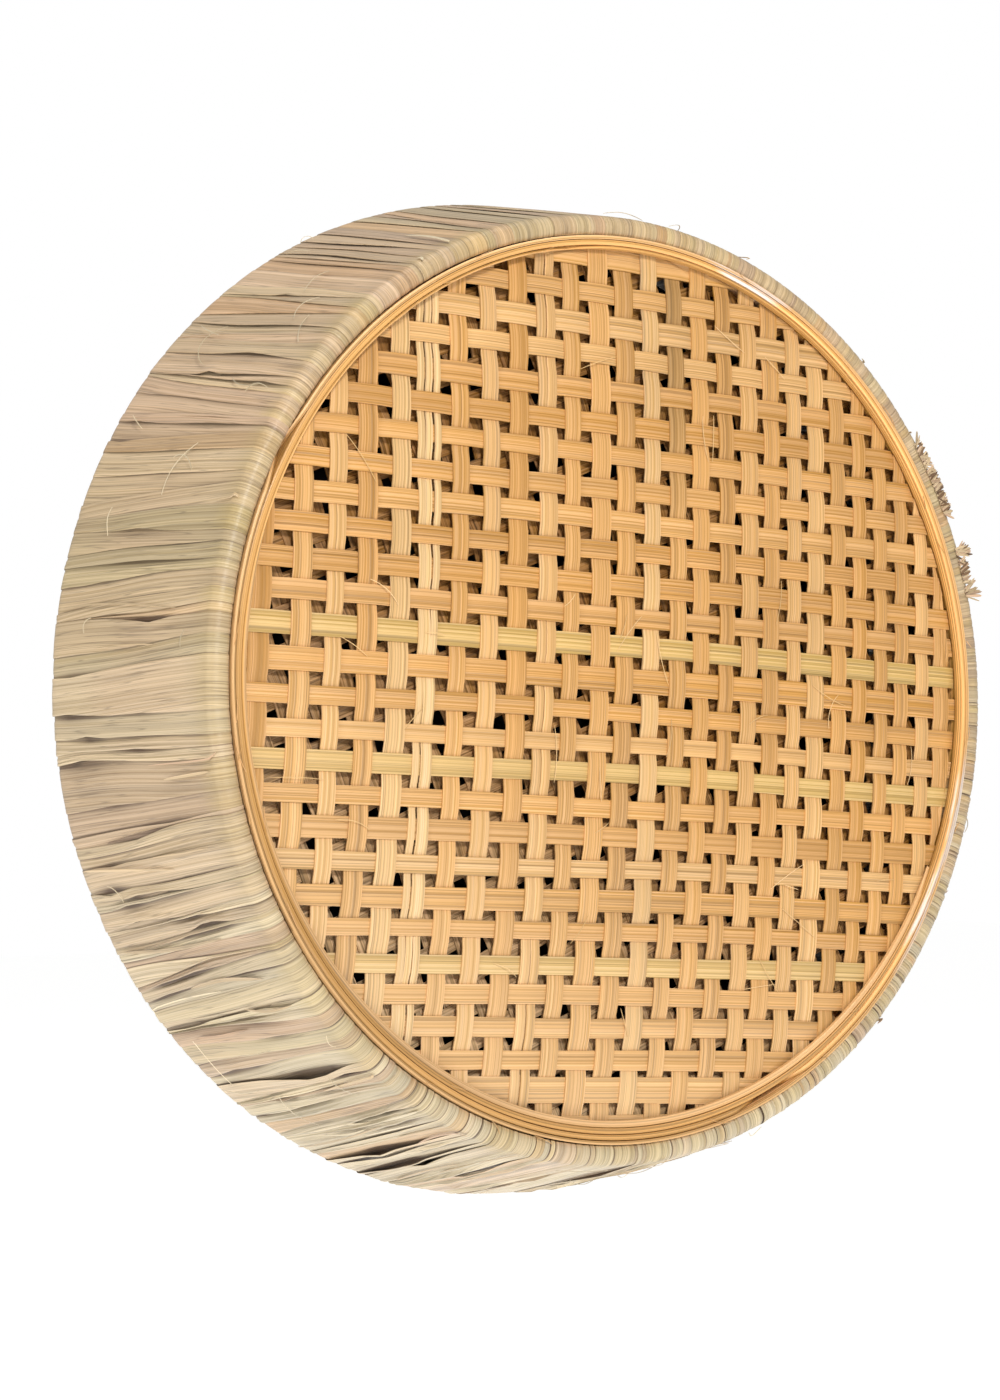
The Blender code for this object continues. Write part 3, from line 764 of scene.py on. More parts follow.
@dataclass
class SplintHoop:
    """A hoop of the rim: one or more splints bent round the drum, their ends shaved to a scarf.

    The hoop's outer edge is a circle. Its inner edge is `inner` from the axis, less `thicken` at the bottom,
    where it grows as the square of the sine.
    """

    name: str
    replaced: str
    inner: float
    outer: float
    laminations: tuple[Lamination, ...]
    seed: int
    thicken: float = 0.0
    unevenness: float = 0.22 * MM
    step: float = 0.5
    # Angle spans, in degrees, of adhesive smears painted white as glints of light.
    glue_glints: tuple[tuple[float, float], ...] = ()

    def bundle(self, lamination: Lamination, number: int) -> Bundle:
        """Carry a flat section of one splint round the drum.

        The section is a rectangle with softened front corners. Its radius drifts slowly, its front drifts
        too, and over the taper at each end its front falls back to its rear face. The wood is paler towards
        the upper right, by a sine and a cosine of the angle.

        Args:
            lamination: the splint.
            number: its place in the hoop, which sets its random drift.

        Returns:
            The splint's grid.
        """
        rng = np.random.default_rng(self.seed + number)
        count = int(lamination.sweep / self.step) + 1
        angle = np.radians(lamination.start + np.linspace(0.0, lamination.sweep, count))
        length = angle * self.outer
        inner_edge = self.inner - self.thicken * np.maximum(0.0, -np.sin(angle)) ** 2
        span = self.outer - inner_edge
        drift = wander(rng, 1, length, (0.42, 0.19, 0.07), self.unevenness)[0]
        low = inner_edge + span * lamination.inner_share + drift
        high = inner_edge + span * lamination.outer_share + 0.8 * drift
        front_drift = wander(rng, 1, length, (0.5, 0.21, 0.045), 0.6 * self.unevenness)[0]
        run_in = np.minimum(length - length[0], length[-1] - length) / lamination.taper
        shave = (1.0 - np.clip(run_in, 0.04, 1.0)) ** 1.5
        front = lamination.front + front_drift + shave * (lamination.back - lamination.front) * 0.92
        across = np.array([0.0, 0.10, 0.5, 0.90, 1.0])
        round_off = np.array([0.35, 0.05, 0.0, 0.05, 0.35]) * MM
        worn = 0.35 + 0.65 * (0.5 - 0.5 * np.sin(angle - math.radians(45.0)))
        share = np.concatenate([across, across[::-1]])
        is_back = np.arange(10) >= 5
        radius = low[:, None] + (high - low)[:, None] * share
        soft = np.concatenate([round_off, np.zeros(5)]) * (worn * (1.0 - shave))[:, None]
        depth = np.where(is_back, lamination.back, front[:, None] + soft)
        points = np.stack([radius * np.cos(angle)[:, None], depth, radius * np.sin(angle)[:, None]], -1)
        deep = np.where(is_back, lamination.back - lamination.front, 0.0)
        lengthwise = np.broadcast_to(length[:, None], radius.shape)
        grain = np.stack([share * (high - low)[:, None] + deep, lengthwise], -1) + rng.uniform(0.0, 5.0, 2)
        dye = dyed(lamination.colour.light()[None], (1, count, 10))
        paleness = 1.13 + 0.11 * np.sin(angle) + 0.17 * np.cos(angle)
        dye *= (paleness * (1.0 + wander(rng, 1, length, (0.33, 0.11, 0.05), 0.14)))[:, :, None, None]
        # Painted glint: white over the front of the splint where light catches the adhesive.
        smear = self.glue_glint_share(rng, angle, length) * np.where(is_back, 0.0, 1.0)[None, :]
        dye = mixed(dye, Palette.GLUE_GLINT.light(), smear[None])
        return Bundle(points[None], grain[None], dye)

    def glue_glint_share(self, rng: np.random.Generator, angle: Array, length: Array) -> Array:
        """How much of the wood is painted white, at each sample and place across: smears of adhesive, painted
        as the white glint of light on them.

        Each smear is a lens along the hoop between two angles, broken up by drifting sine waves.

        Args:
            rng: random source.
            angle: angle of every sample.
            length: distance along the hoop at every sample.

        Returns:
            Array of samples by ten places across, from 0 to 0.8.
        """
        total = np.zeros((len(angle), 10))
        for first, last in self.glue_glints:
            along = (np.degrees(angle) - first) % 360.0 / (last - first)
            lens = np.where(along < 1.0, 4.0 * along * (1.0 - along), 0.0)
            broken = 0.45 + wander(rng, 10, length, (0.09, 0.035, 0.012), 0.9).T
            total += np.clip(1.5 * lens[:, None] * broken, 0.0, 0.8)
        return np.clip(total, 0.0, 0.8)

    def build(self, finish: bpy.types.Material) -> None:
        """Make the hoop in place of its CAD ring.

        Args:
            finish: material of the splints.
        """
        bundles = [self.bundle(lamination, number) for number, lamination in enumerate(self.laminations)]
        make_piece(self.name, bundles, finish, (self.replaced,))


# ---------------------------------------------------------------- raffia


@dataclass(frozen=True)
class Seam:
    """One long edge of every strip: whether it is tucked under its neighbour, its gape and its lift.

    The gape goes from 0 to about 1, and the lift is in millimetres.
    """

    under: Array
    gape: Array
    lift: Array

    def rise(self) -> Array:
        """Height at the edge: the lift plus the gape's bulge, or below nought where it is tucked."""
        return np.where(self.under, -0.25 - 1.1 * self.gape, self.lift + 1.3 * self.gape)

    def slope(self) -> Array:
        """Height at the foot of the edge's slope."""
        return np.where(self.under, -0.05 - 0.5 * self.gape, 0.92 * self.rise())

    def opening(self, gap: float, width: Array) -> Array:
        """How far an edge on top draws back: the gap times the gape, up to a good third of the width."""
        return np.where(self.under, 0.0, np.minimum(gap * self.gape, 0.38 * width))


@dataclass
class RaffiaWrap:
    """Raffia leaf strips wound side by side over the front and the rear wire ring.

    Each strip is a closed belt round both rings' sections. Neighbouring strips meet at an edge line; there
    one lies over and the other is tucked under it. In a pocket the upper one bulges and the other sinks.
    """

    front_centre: tuple[float, float] = (193.5 * MM, -90.9 * MM)
    rear_centre: tuple[float, float] = (216.8 * MM, -4.3 * MM)
    front_radius: float = 4.5 * MM
    rear_radius: float = 3.2 * MM
    corner_radius: float = 5.4 * MM
    least_radius: float = 189.2 * MM
    strips: int = 288
    runs: int = 12
    leaf: float = 0.16 * MM
    wall_samples: int = 36
    arc_samples: int = 8
    inner_samples: int = 5
    corner_end: float = -0.74 * math.pi
    bunch: float = 3.6 * MM
    bunch_from: float = 0.93
    bunch_ramp: float = 0.05
    gap: float = 3.0 * MM
    over_chance: float = 0.7
    seed: int = 71

    def belt(self) -> tuple[Array, Array, Array, Array]:
        """The belt round both rings' sections, from the middle of its inner side over the rear ring.

        It is two straight sides tangent to the rings, an arc on the rear ring, and on the front ring an arc
        of the corner radius that turns in to the rim, cut off where it would press into it.

        Returns:
            Points (samples by radius and depth), outward normals, share of the way from front to rear, and a
            mask of the inner side.
        """
        front, rear = np.array(self.front_centre), np.array(self.rear_centre)
        span = rear - front
        heading = math.atan2(span[1], span[0])
        tangent = math.acos((self.front_radius - self.rear_radius) / float(np.hypot(*span)))
        outer_turn, inner_turn = heading - tangent, heading + tangent
        rear_arc = np.linspace(inner_turn, outer_turn, self.arc_samples)
        front_arc = np.linspace(outer_turn, self.corner_end, self.arc_samples + 3)
        inset = self.corner_radius - self.front_radius
        corner = front - inset * np.array([math.cos(outer_turn), -1.0])
        way = np.linspace(0.0, 1.0, self.inner_samples + 2)[1:-1, None]
        start = front + self.front_radius * np.array([math.cos(inner_turn), math.sin(inner_turn)])
        end = rear + self.rear_radius * np.array([math.cos(inner_turn), math.sin(inner_turn)])
        inner_line = start + (end - start) * way
        over_rear = rear + self.rear_radius * np.column_stack([np.cos(rear_arc), np.sin(rear_arc)])
        over_front = corner + self.corner_radius * np.column_stack([np.cos(front_arc), np.sin(front_arc)])
        down = np.linspace(1.0, 0.0, self.wall_samples + 2)[1:-1, None]
        outer_line = over_front[0] + (over_rear[-1] - over_front[0]) * down
        points = np.concatenate([inner_line, over_rear, outer_line, over_front])
        points[:, 0] = np.maximum(points[:, 0], self.least_radius)
        share = np.concatenate([way[:, 0], np.ones(len(rear_arc)), down[:, 0], np.zeros(len(front_arc))])
        flat_in, flat_out = np.full(len(way), inner_turn), np.full(len(down), outer_turn)
        turned = np.concatenate([flat_in, rear_arc, flat_out, front_arc])
        normals = np.column_stack([np.cos(turned), np.sin(turned)])
        return points, normals, share, np.arange(len(points)) < len(way)

    def slack(self, share: Array) -> Array:
        """How loose the strips lie: 0 over the rings, 1 over most of the wall, as a sine to a low power."""
        return np.sin(math.pi * np.clip(share, 0.0, 1.0)) ** 0.5

    def edges(self, rng: np.random.Generator, share: Array, radius: Array) -> Array:
        """Angle of every edge line between strips at every belt sample.

        Strip widths are random with a long tail, narrower low on the drum, and add up to a full turn. Each
        edge leans from front to rear by slow waves round the drum plus its own amount, and bows a little in
        the middle of the wall. Where lines would cross, the later one is held just after the earlier.

        Args:
            rng: random source.
            share: share of the way from front to rear at every sample.
            radius: distance from the drum's axis at every sample.

        Returns:
            Array of strips + 1 by samples; the last edge is the first plus a full turn.
        """
        turn = np.linspace(0.0, FULL_TURN, self.strips, endpoint=False)
        widths = rng.lognormal(0.0, 0.5, self.strips) * (1.25 + 0.55 * np.sin(turn - 0.6))
        base = np.concatenate([[0.0], np.cumsum(widths)])[:, None] / widths.sum() * FULL_TURN
        lean = 1.0 + 4.5 * np.sin(2.0 * base - 5.2) + 2.5 * np.sin(9.0 * base + 0.5)
        lean = lean + 2.0 * np.sin(19.0 * base)
        own = rng.normal(0.0, 2.4, (self.strips + 1, 1))
        own[0] = own[-1] = 0.0
        bow = wander(rng, self.strips + 1, share, (2.4, 1.1), 1.1)
        bow[0] = bow[-1] = 0.0
        belly = np.sin(math.pi * np.clip(share, 0.0, 1.0)) ** 0.7
        lines = base + ((lean + own) * (share - 0.4) + bow * belly) * MM / self.rear_centre[0]
        least = np.arange(self.strips + 1)[:, None] * 0.5 * MM / radius
        lines = np.maximum.accumulate(lines - least, axis=0) + least
        lines[-1] = lines[0] + FULL_TURN
        return np.minimum(lines, lines[-1] - least[::-1])

    def pockets(self, rng: np.random.Generator, share: Array, edge: Array) -> Array:
        """How far each edge gapes at every sample, from 0 to about 1.

        A pocket is pointed: a power of one less the distance from its middle, in half lengths. Each edge may
        have a few. They are more frequent, longer and wider low on the drum.

        Args:
            rng: random source.
            share: share of the way from front to rear at every sample.
            edge: angle of every edge at every sample.

        Returns:
            Array of strips by samples.
        """
        low_down = 0.5 - 0.5 * np.sin(edge[:, -1:])
        total = np.zeros(edge.shape)
        for chance in (0.65, 0.5):
            present = rng.random((self.strips, 1)) < chance * (0.08 + 1.35 * low_down)
            middle = rng.uniform(0.12, 0.95, (self.strips, 1))
            half = rng.uniform(0.06, 0.26, (self.strips, 1)) * (0.8 + 0.6 * low_down)
            widest = rng.uniform(0.15, 1.0, (self.strips, 1)) * (0.25 + 0.85 * low_down)
            total += present * widest * np.maximum(0.0, 1.0 - np.abs(share - middle) / (1.25 * half)) ** 1.25
        return total

    def lifts(self, rng: np.random.Generator, length: Array, share: Array, inner: Array, top: Array) -> Array:
        """How high each strip's upper edge lies when it is on top.

        It is a random height that drifts along the strip and grows with the slack, plus a ruffle on the outer
        wall. Both are calmer towards the top of the drum, by a share of the sine of the angle.

        Args:
            rng: random source.
            length: distance along the belt at every sample.
            share: share of the way from front to rear at every sample.
            inner: mask of the inner side.
            top: angle of every upper edge, strips by 1.

        Returns:
            Heights in millimetres, strips by samples.
        """
        lift = rng.uniform(0.25, 0.8, (self.strips, 1))
        lift = lift * (0.8 + wander(rng, self.strips, length, (0.21, 0.1), 0.6))
        ruffle = np.minimum(rng.exponential(0.28, (self.strips, 1)), 1.3)
        ruffle = ruffle * np.clip(3.0 * share, 0.0, 1.0) * ~inner
        calm = 1.0 - 0.6 * np.clip(np.sin(top), 0.0, 1.0)
        return (np.maximum(lift, 0.1) * (0.3 + 0.7 * self.slack(share)) + ruffle) * calm

    def across(self, low: Seam, high: Seam, width: Array, tuck: Array) -> Array:
        """The twelve places across a strip, as distances from its lower edge line.

        They are the tucked edge, the edge line, both ends of the edge's own line of painted shade, the foot
        of the slope, the middle, and the same mirrored. An edge on top draws back by its opening and bares
        the tucked leaf.

        Args:
            low: the lower edges.
            high: the upper edges.
            width: distance between the edge lines.
            tuck: how far an edge is tucked under its neighbour.

        Returns:
            Array of strips by samples by twelve.
        """
        first, drawn = low.opening(self.gap, width), high.opening(self.gap, width)
        last, clear = width - drawn, width - first - drawn
        near, foot = np.minimum(0.48 * MM, 0.13 * clear), np.minimum(1.7 * MM, 0.30 * clear)
        low_tuck, high_tuck = (np.where(seam.under, tuck, 0.12 * MM) for seam in (low, high))
        places = [first - low_tuck, first, first + near, first + 1.9 * near, first + foot]
        places += [first + 0.42 * clear, first + 0.58 * clear]
        places += [last - foot, last - 1.9 * near, last - near, last, last + high_tuck]
        return np.stack(places, -1)

    def heights(self, low: Seam, high: Seam) -> Array:
        """Height of the strip at its twelve places, from its two edges' rises and slopes.

        Args:
            low: the lower edges.
            high: the upper edges.

        Returns:
            Heights in millimetres, strips by samples by twelve.
        """
        low_rise, high_rise, low_slope, high_slope = low.rise(), high.rise(), low.slope(), high.slope()
        middle = 0.5 * (low_slope + high_slope) + 0.12
        rows = [low_rise - 0.1, low_rise, low_rise + 0.03, low_rise + 0.05, 0.7 * low_slope + 0.3 * middle]
        rows += [middle, middle, 0.7 * high_slope + 0.3 * middle]
        rows += [high_rise + 0.05, high_rise + 0.03, high_rise, high_rise - 0.1]
        return np.stack(rows, -1)

    def bundle(self) -> tuple[Bundle, Array]:
        """All strips' grids, and each strip's middle angle.

        A point is its belt sample, moved along the sample's normal by its height and turned about the drum's
        axis by its place across the strip over the sample's radius. Where the belt faces the axis on the rear
        ring, the gathered strips stand out by the bunch, which ramps up from a share of the way to the rear.

        Returns:
            The grids, and the angle at the front of each strip's middle.
        """
        rng = np.random.default_rng(self.seed)
        points, normals, share, inner = self.belt()
        length = np.cumsum(np.hypot(*np.diff(points, axis=0, prepend=points[:1]).T))
        radius = points[:, 0]
        edge = self.edges(rng, share, radius)
        below, above = edge[:-1], edge[1:]
        before = np.roll(np.arange(self.strips), 1)
        over = rng.random(self.strips) < self.over_chance  # its upper edge lies over the next strip
        gape = self.pockets(rng, share, above) * ~inner
        tuck = rng.uniform(2.0, 4.5, (self.strips, 1)) * MM
        lift = self.lifts(rng, length, share, inner, above[:, -1:])
        low = Seam(over[before][:, None], gape[before], lift[before])
        high = Seam(~over[:, None], gape, lift)
        place = self.across(low, high, (above - below) * radius, tuck)
        fold, crease_shade = self.creases(rng, length)
        loose = np.where(inner, 0.4, 0.5 + 0.5 * self.slack(share))[None, :, None]
        height = (self.heights(low, high) - fold) * loose * MM
        ramp = np.clip((share - self.bunch_from) / self.bunch_ramp, 0.0, 1.0)
        bunched = self.bunch * np.clip(-normals[:, 0], 0.0, 1.0) * ramp
        top = np.maximum(height, -1.3 * MM) + bunched[None, :, None]
        theta = below[:, :, None] + place / radius[None, :, None]
        rings = np.concatenate([top, (top - self.leaf)[:, :, ::-1]], -1)
        angle = np.concatenate([theta, theta[:, :, ::-1]], -1)
        far = radius[None, :, None] + normals[:, 0][None, :, None] * rings
        depth = points[:, 1][None, :, None] + normals[:, 1][None, :, None] * rings
        grid = np.stack([far * np.cos(angle), depth, far * np.sin(angle)], -1)
        u = np.concatenate([place, place[:, :, ::-1]], -1)
        v = np.broadcast_to(length[None, :, None], u.shape)
        grain = np.stack([u, v], -1) + rng.uniform(0.0, 5.0, (self.strips, 1, 1, 2))
        middle = ((below + above) / 2.0)[:, -1]
        # Painted shade along tucked edges: stronger low on the drum, weaker at the top.
        painted_shade_amount = 0.60 - 0.45 * np.sin(middle)[:, None]
        low_shade = self.edge_shade(rng, length, low.under * painted_shade_amount, low.gape)
        high_shade = self.edge_shade(rng, length, high.under * painted_shade_amount, high.gape)
        shade = np.maximum(np.maximum(low_shade, high_shade[:, :, ::-1]), crease_shade)
        shade = np.concatenate([shade, np.ones_like(shade)], -1)
        dye = self.colours(rng, middle, length, share, inner, grid.shape[:3])
        # Painted shade: the dye goes towards dark brown at tucked edges, in pockets and in creases, half as
        # much on the inner side.
        painted_shade_share = np.where(inner[None, :, None], 0.5, 1.0) * 0.88 * shade
        return Bundle(grid, grain, mixed(dye, Palette.PAINTED_SHADE_BROWN.light(), painted_shade_share), looped=True), middle

    def edge_shade(self, rng: np.random.Generator, length: Array, under: Array, gape: Array) -> Array:
        """How dark a strip is painted towards its lower edge: painted shade where it is tucked under its
        neighbour.

        The edge line itself comes and goes along the strip with a drifting sine; in a pocket the painted
        shade spreads over the sunken slope in proportion to the gape.

        Args:
            rng: random source.
            length: distance along the belt at every sample.
            under: how strongly that edge is painted with shade, strips by 1; 0 where it isn't tucked.
            gape: how far that edge gapes at every sample.

        Returns:
            Array of strips by samples by twelve places, from 0 to 1.
        """
        line = np.clip(0.50 + wander(rng, self.strips, length, (0.16, 0.07, 0.03), 0.85), 0.04, 0.95) * under
        deep = np.clip(2.0 * gape, 0.0, 1.0) * under
        spread = np.stack([line + deep, line + deep, line + deep, 0.85 * deep, 0.42 * deep, 0.10 * deep], -1)
        return np.clip(np.concatenate([spread, np.zeros_like(spread)], -1), 0.0, 1.0)

    def creases(self, rng: np.random.Generator, length: Array) -> tuple[Array, Array]:
        """Folds inside each strip, and the shade painted in them.

        At the inner places a line may sink into a fold, whose depth along the strip is one less the square
        of the distance from its middle, in half lengths.

        Args:
            rng: random source.
            length: distance along the belt at every sample.

        Returns:
            Depth in millimetres and painted shade from 0 to 1, strips by samples by twelve places.
        """
        shape = (self.strips, 1, 12)
        inside = np.array([0, 0, 0, 0, 1, 1, 1, 1, 0, 0, 0, 0])
        middle = rng.uniform(length[0], length[-1], shape)
        half = rng.uniform(8 * MM, 55 * MM, shape)
        lens = np.maximum(0.0, 1.0 - ((length[None, :, None] - middle) / half) ** 2)
        deep = rng.uniform(0.2, 1.0, shape) * (rng.random(shape) < 0.42) * inside
        return 0.4 * deep * lens, 0.25 * deep * lens

    def colours(
        self,
        rng: np.random.Generator,
        middle: Array,
        length: Array,
        share: Array,
        inner: Array,
        shape: tuple[int, ...],
    ) -> Array:
        """Dye of every strip: straw, shifted to khaki, tan, orange or cream, with patches along it.

        The leaf is yellower where it is pulled tight over the front ring, and painted a little darker there
        as painted shade; on the inner side it is painted dark brown as painted shade. Low on the drum it is
        creamier, and it is painted lighter towards the top as painted light.

        Args:
            rng: random source.
            middle: angle of every strip.
            length: distance along the belt at every sample.
            share: share of the way from front to rear at every sample.
            inner: mask of the inner side.
            shape: the grid's shape.

        Returns:
            Array of the shape by three.
        """
        top = 0.5 + 0.5 * np.sin(middle)
        base = np.tile(Palette.STRAW.light(), (self.strips, 1))
        creamier_low = np.clip(1.0 - 1.9 * top + rng.normal(0, 0.15, self.strips), 0, 0.9)
        base = mixed(base, Palette.CREAM.light(), creamier_low)
        kinds = (
            (Palette.KHAKI, 0.08 + 0.34 * top, 0.7),
            (Palette.PINK_TAN, 0.16 + 0.5 * top, 0.8),
            (Palette.ORANGE_TAN, 0.06 + 0.1 * top, 0.6),
        )
        drifting = 0.5 + 0.5 * np.sin(9.0 * middle + 1.0) * np.sin(4.0 * middle)
        for number, (colour, chance, most) in enumerate(kinds):
            local = chance * 2.0 * (drifting if number == 1 else 1.0 - drifting)
            amount = rng.uniform(0.3, most, self.strips) * (rng.random(self.strips) < local)
            base = mixed(base, colour.light(), amount)
        # Painted light: lighter towards the top of the drum.
        base = base * rng.normal(1.0, 0.06, (self.strips, 1)) * (0.91 + 0.09 * top**2)[:, None]
        dye = dyed(base, shape)
        patch = np.clip(wander(rng, self.strips, length, (0.19, 0.07), 1.0), 0.0, 1.0) * 0.35
        blotch = rng.random((self.strips, 1)) < 0.5
        dye = mixed(dye, Palette.PINK_TAN.light(), (patch * blotch)[:, :, None] * np.ones(shape))
        tight = np.clip(1.0 - share / 0.09, 0.0, 1.0) * rng.uniform(0.0, 0.5, (self.strips, 1))
        dye = mixed(dye, Palette.YELLOW.light(), tight[:, :, None] * np.ones(shape))
        # Painted shade: darker over the front ring, where light falls full on it.
        dye *= (1.0 - 0.12 * np.clip(1.0 - share / 0.14, 0.0, 1.0))[None, :, None, None]
        # Painted shade: the inner side, which lies in shade, is mixed towards dark brown.
        dye = mixed(dye, Palette.UMBER.light(), np.where(inner, 0.85, 0.0)[None, :, None] * np.ones(shape))
        return dye

    def build(self, finish: bpy.types.Material) -> None:
        """Make one piece for each CAD run, holding the strips whose middle lies in it.

        Args:
            finish: material of the leaf strips.
        """
        bundle, middle = self.bundle()
        run_of = np.floor((middle % FULL_TURN) / FULL_TURN * self.runs).astype(int)
        for run in range(self.runs):
            chosen = run_of == run
            part = Bundle(bundle.points[chosen], bundle.grain[chosen], bundle.dye[chosen], looped=True)
            make_piece(f"raffia_run_{run + 1:02d}", [part], finish, (f"raffia_wrap_{run + 1:02d}",))


# ---------------------------------------------------------------- loose leaf ends and fibres


def unit(vectors: Array) -> Array:
    """Vectors divided by their length."""
    return vectors / np.maximum(np.linalg.norm(vectors, axis=-1, keepdims=True), 1e-12)


def ribbons(
    path: Array, up: Array, width: Array, thickness: float, colour: Array, rng: np.random.Generator
) -> Bundle:
    """Carry a flat four-cornered section along free paths; the ends narrow as a sine to a low power.

    Args:
        path: centre lines, strips by samples by three.
        up: direction that the flat side faces, broadcastable to the path.
        width: full width of each strip.
        thickness: thickness of all of them.
        colour: one colour per strip.
        rng: random source.

    Returns:
        The strips' grids.
    """
    heading = unit(np.gradient(path, axis=1))
    side = unit(np.cross(up, heading))
    face = np.cross(heading, side)
    share = np.linspace(0.0, 1.0, path.shape[1])
    breadth = width[:, None] * np.maximum(np.sin(math.pi * share), 0.0) ** 0.4 + 0.12 * MM
    across = np.array([-0.5, 0.5, 0.5, -0.5])
    rise = np.array([0.5, 0.5, -0.5, -0.5]) * thickness
    points = path[:, :, None] + side[:, :, None] * (breadth[:, :, None] * across)[..., None]
    points = points + face[:, :, None] * rise[:, None]
    length = np.cumsum(np.linalg.norm(np.diff(path, axis=1, prepend=path[:, :1]), axis=-1), axis=1)
    u = breadth[:, :, None] * across
    grain = np.stack([u, np.broadcast_to(length[:, :, None], u.shape)], -1)
    grain = grain + rng.uniform(0.0, 5.0, (len(path), 1, 1, 2))
    return Bundle(points, grain, dyed(colour, u.shape))


@dataclass
class LooseEnds:
    """Leaf ends laid askew on the wrap, and fibres that stand off the wrap, the rim and the front mat."""

    wrap: RaffiaWrap
    leaves: int = 46
    wall_hairs: int = 60
    mat_hairs: int = 34
    rim_hairs: int = 30
    samples: int = 12
    wall_depth: float = 87.0 * MM
    wall_radius: float = 205.0 * MM
    mat_reach: float = 165.0 * MM
    mat_front: float = -91.6 * MM
    rim_edges: tuple[float, ...] = (183.6 * MM, 187.0 * MM, 189.0 * MM)
    rim_front: float = -96.1 * MM
    fray_radius: float = 193.4 * MM
    fray_front: float = -95.5 * MM
    seed: int = 5

    def wall(self, angle: Array, share: Array, height: Array) -> Array:
        """Point on the wrap's outer wall.

        The wall is the straight line from the front ring's outside to the rear ring's, turned round the axis.
        Before share 0 the point goes round the front ring instead.

        Args:
            angle: angle about the drum's axis.
            share: share of the way from front to rear; below 0 it is in quarter turns round the front ring.
            height: height above the wrap's nominal surface.

        Returns:
            Array by three.
        """
        front, rear = np.array(self.wrap.front_centre), np.array(self.wrap.rear_centre)
        span = rear - front
        facing = math.atan2(span[1], span[0]) - math.pi / 2.0
        turn = facing + np.minimum(share, 0.0) * math.pi / 2.0
        along = np.maximum(share, 0.0)
        reach = self.wrap.front_radius + height
        radius = front[0] + span[0] * along + np.cos(turn) * reach
        depth = front[1] + span[1] * along + np.sin(turn) * reach
        return np.stack([radius * np.cos(angle), depth, radius * np.sin(angle)], -1)

    def outward(self, angle: Array) -> Array:
        """Unit vector straight out from the drum's axis."""
        return np.stack([np.cos(angle), np.zeros_like(angle), np.sin(angle)], -1)

    def skewed_leaves(self, rng: np.random.Generator) -> Bundle:
        """Narrow leaf ends that cross the wrap at a small angle, arched a little off it in the middle.

        Args:
            rng: random source.

        Returns:
            The strips' grids.
        """
        count, share = self.leaves, np.linspace(0.0, 1.0, self.samples)
        low_down = rng.random((count, 1)) < 0.6
        below, anywhere = rng.uniform(3.3, 5.6, (count, 1)), rng.uniform(0.0, FULL_TURN, (count, 1))
        angle = np.where(low_down, below, anywhere)
        begin = rng.uniform(-0.4, 0.6, (count, 1))
        span = rng.uniform(0.25, 0.8, (count, 1))
        lean = rng.normal(0.0, 5.0 * MM, (count, 1)) / 0.2
        along = np.minimum(begin + span * share, 0.97)
        bend = rng.normal(0.0, 1.5 * MM, (count, 1)) / 0.2 * np.sin(math.pi * share)
        theta = angle + lean * span * (share - 0.5) + bend
        height = (0.55 + rng.uniform(0.0, 1.0, (count, 1)) * np.sin(math.pi * share)) * MM
        path = self.wall(theta, along, height)
        width = rng.uniform(0.4, 1.6, count) * MM
        shades = [Palette.STRAW, Palette.PINK_TAN, Palette.STRAW, Palette.CREAM]
        colour = np.array([shades[pick].light() for pick in rng.integers(0, len(shades), count)])
        colour = colour * rng.uniform(0.85, 1.1, (count, 1))
        return ribbons(path, self.outward(theta), width, self.wrap.leaf, colour, rng)

    def wall_fibres(self, rng: np.random.Generator) -> Bundle:
        """Hairs on the wrap: curls that start on it, run at any angle and lift clear in the middle.

        Args:
            rng: random source.

        Returns:
            The strips' grids.
        """
        count, share = self.wall_hairs, np.linspace(0.0, 1.0, self.samples)
        length = rng.uniform(6.0, 30.0, (count, 1)) * MM
        heading = rng.uniform(0.0, FULL_TURN, (count, 1)) + rng.normal(0.0, 1.0, (count, 1)) * share
        step = length / self.samples
        along = rng.uniform(0.0, 0.9, (count, 1)) + np.cumsum(np.cos(heading) * step, 1) / self.wall_depth
        theta = rng.uniform(0.0, FULL_TURN, (count, 1))
        theta = theta + np.cumsum(np.sin(heading) * step, 1) / self.wall_radius
        height = (0.9 + rng.uniform(0.3, 2.2, (count, 1)) * np.sin(math.pi * share)) * MM
        path = self.wall(theta, np.clip(along, -0.5, 0.97), height)
        colour = np.tile(Palette.CREAM.light(), (count, 1)) * rng.uniform(0.75, 1.05, (count, 1))
        return ribbons(path, self.outward(theta), np.full(count, 0.22 * MM), 0.2 * MM, colour, rng)

    def mat_fibres(self, rng: np.random.Generator) -> Bundle:
        """Hairs split off the strips of the front mat, lying over its holes.

        Args:
            rng: random source.

        Returns:
            The strips' grids.
        """
        count, share = self.mat_hairs, np.linspace(0.0, 1.0, self.samples)
        radius = self.mat_reach * np.sqrt(rng.random((count, 1)))
        angle = rng.uniform(0.0, FULL_TURN, (count, 1))
        heading = rng.uniform(0.0, math.pi, (count, 1)) + rng.normal(0.0, 0.5, (count, 1)) * share
        step = rng.uniform(8.0, 26.0, (count, 1)) * MM / self.samples
        x = radius * np.cos(angle) + np.cumsum(np.cos(heading) * step, 1)
        z = radius * np.sin(angle) + np.cumsum(np.sin(heading) * step, 1)
        y = self.mat_front - rng.uniform(0.2, 1.2, (count, 1)) * MM * np.sin(math.pi * share)
        colour = np.tile(Palette.PALE.light(), (count, 1))
        facing = np.array([0.0, -1.0, 0.0])
        path, width = np.stack([x, y, z], -1), np.full(count, 0.16 * MM)
        return ribbons(path, facing, width, 0.14 * MM, colour, rng)

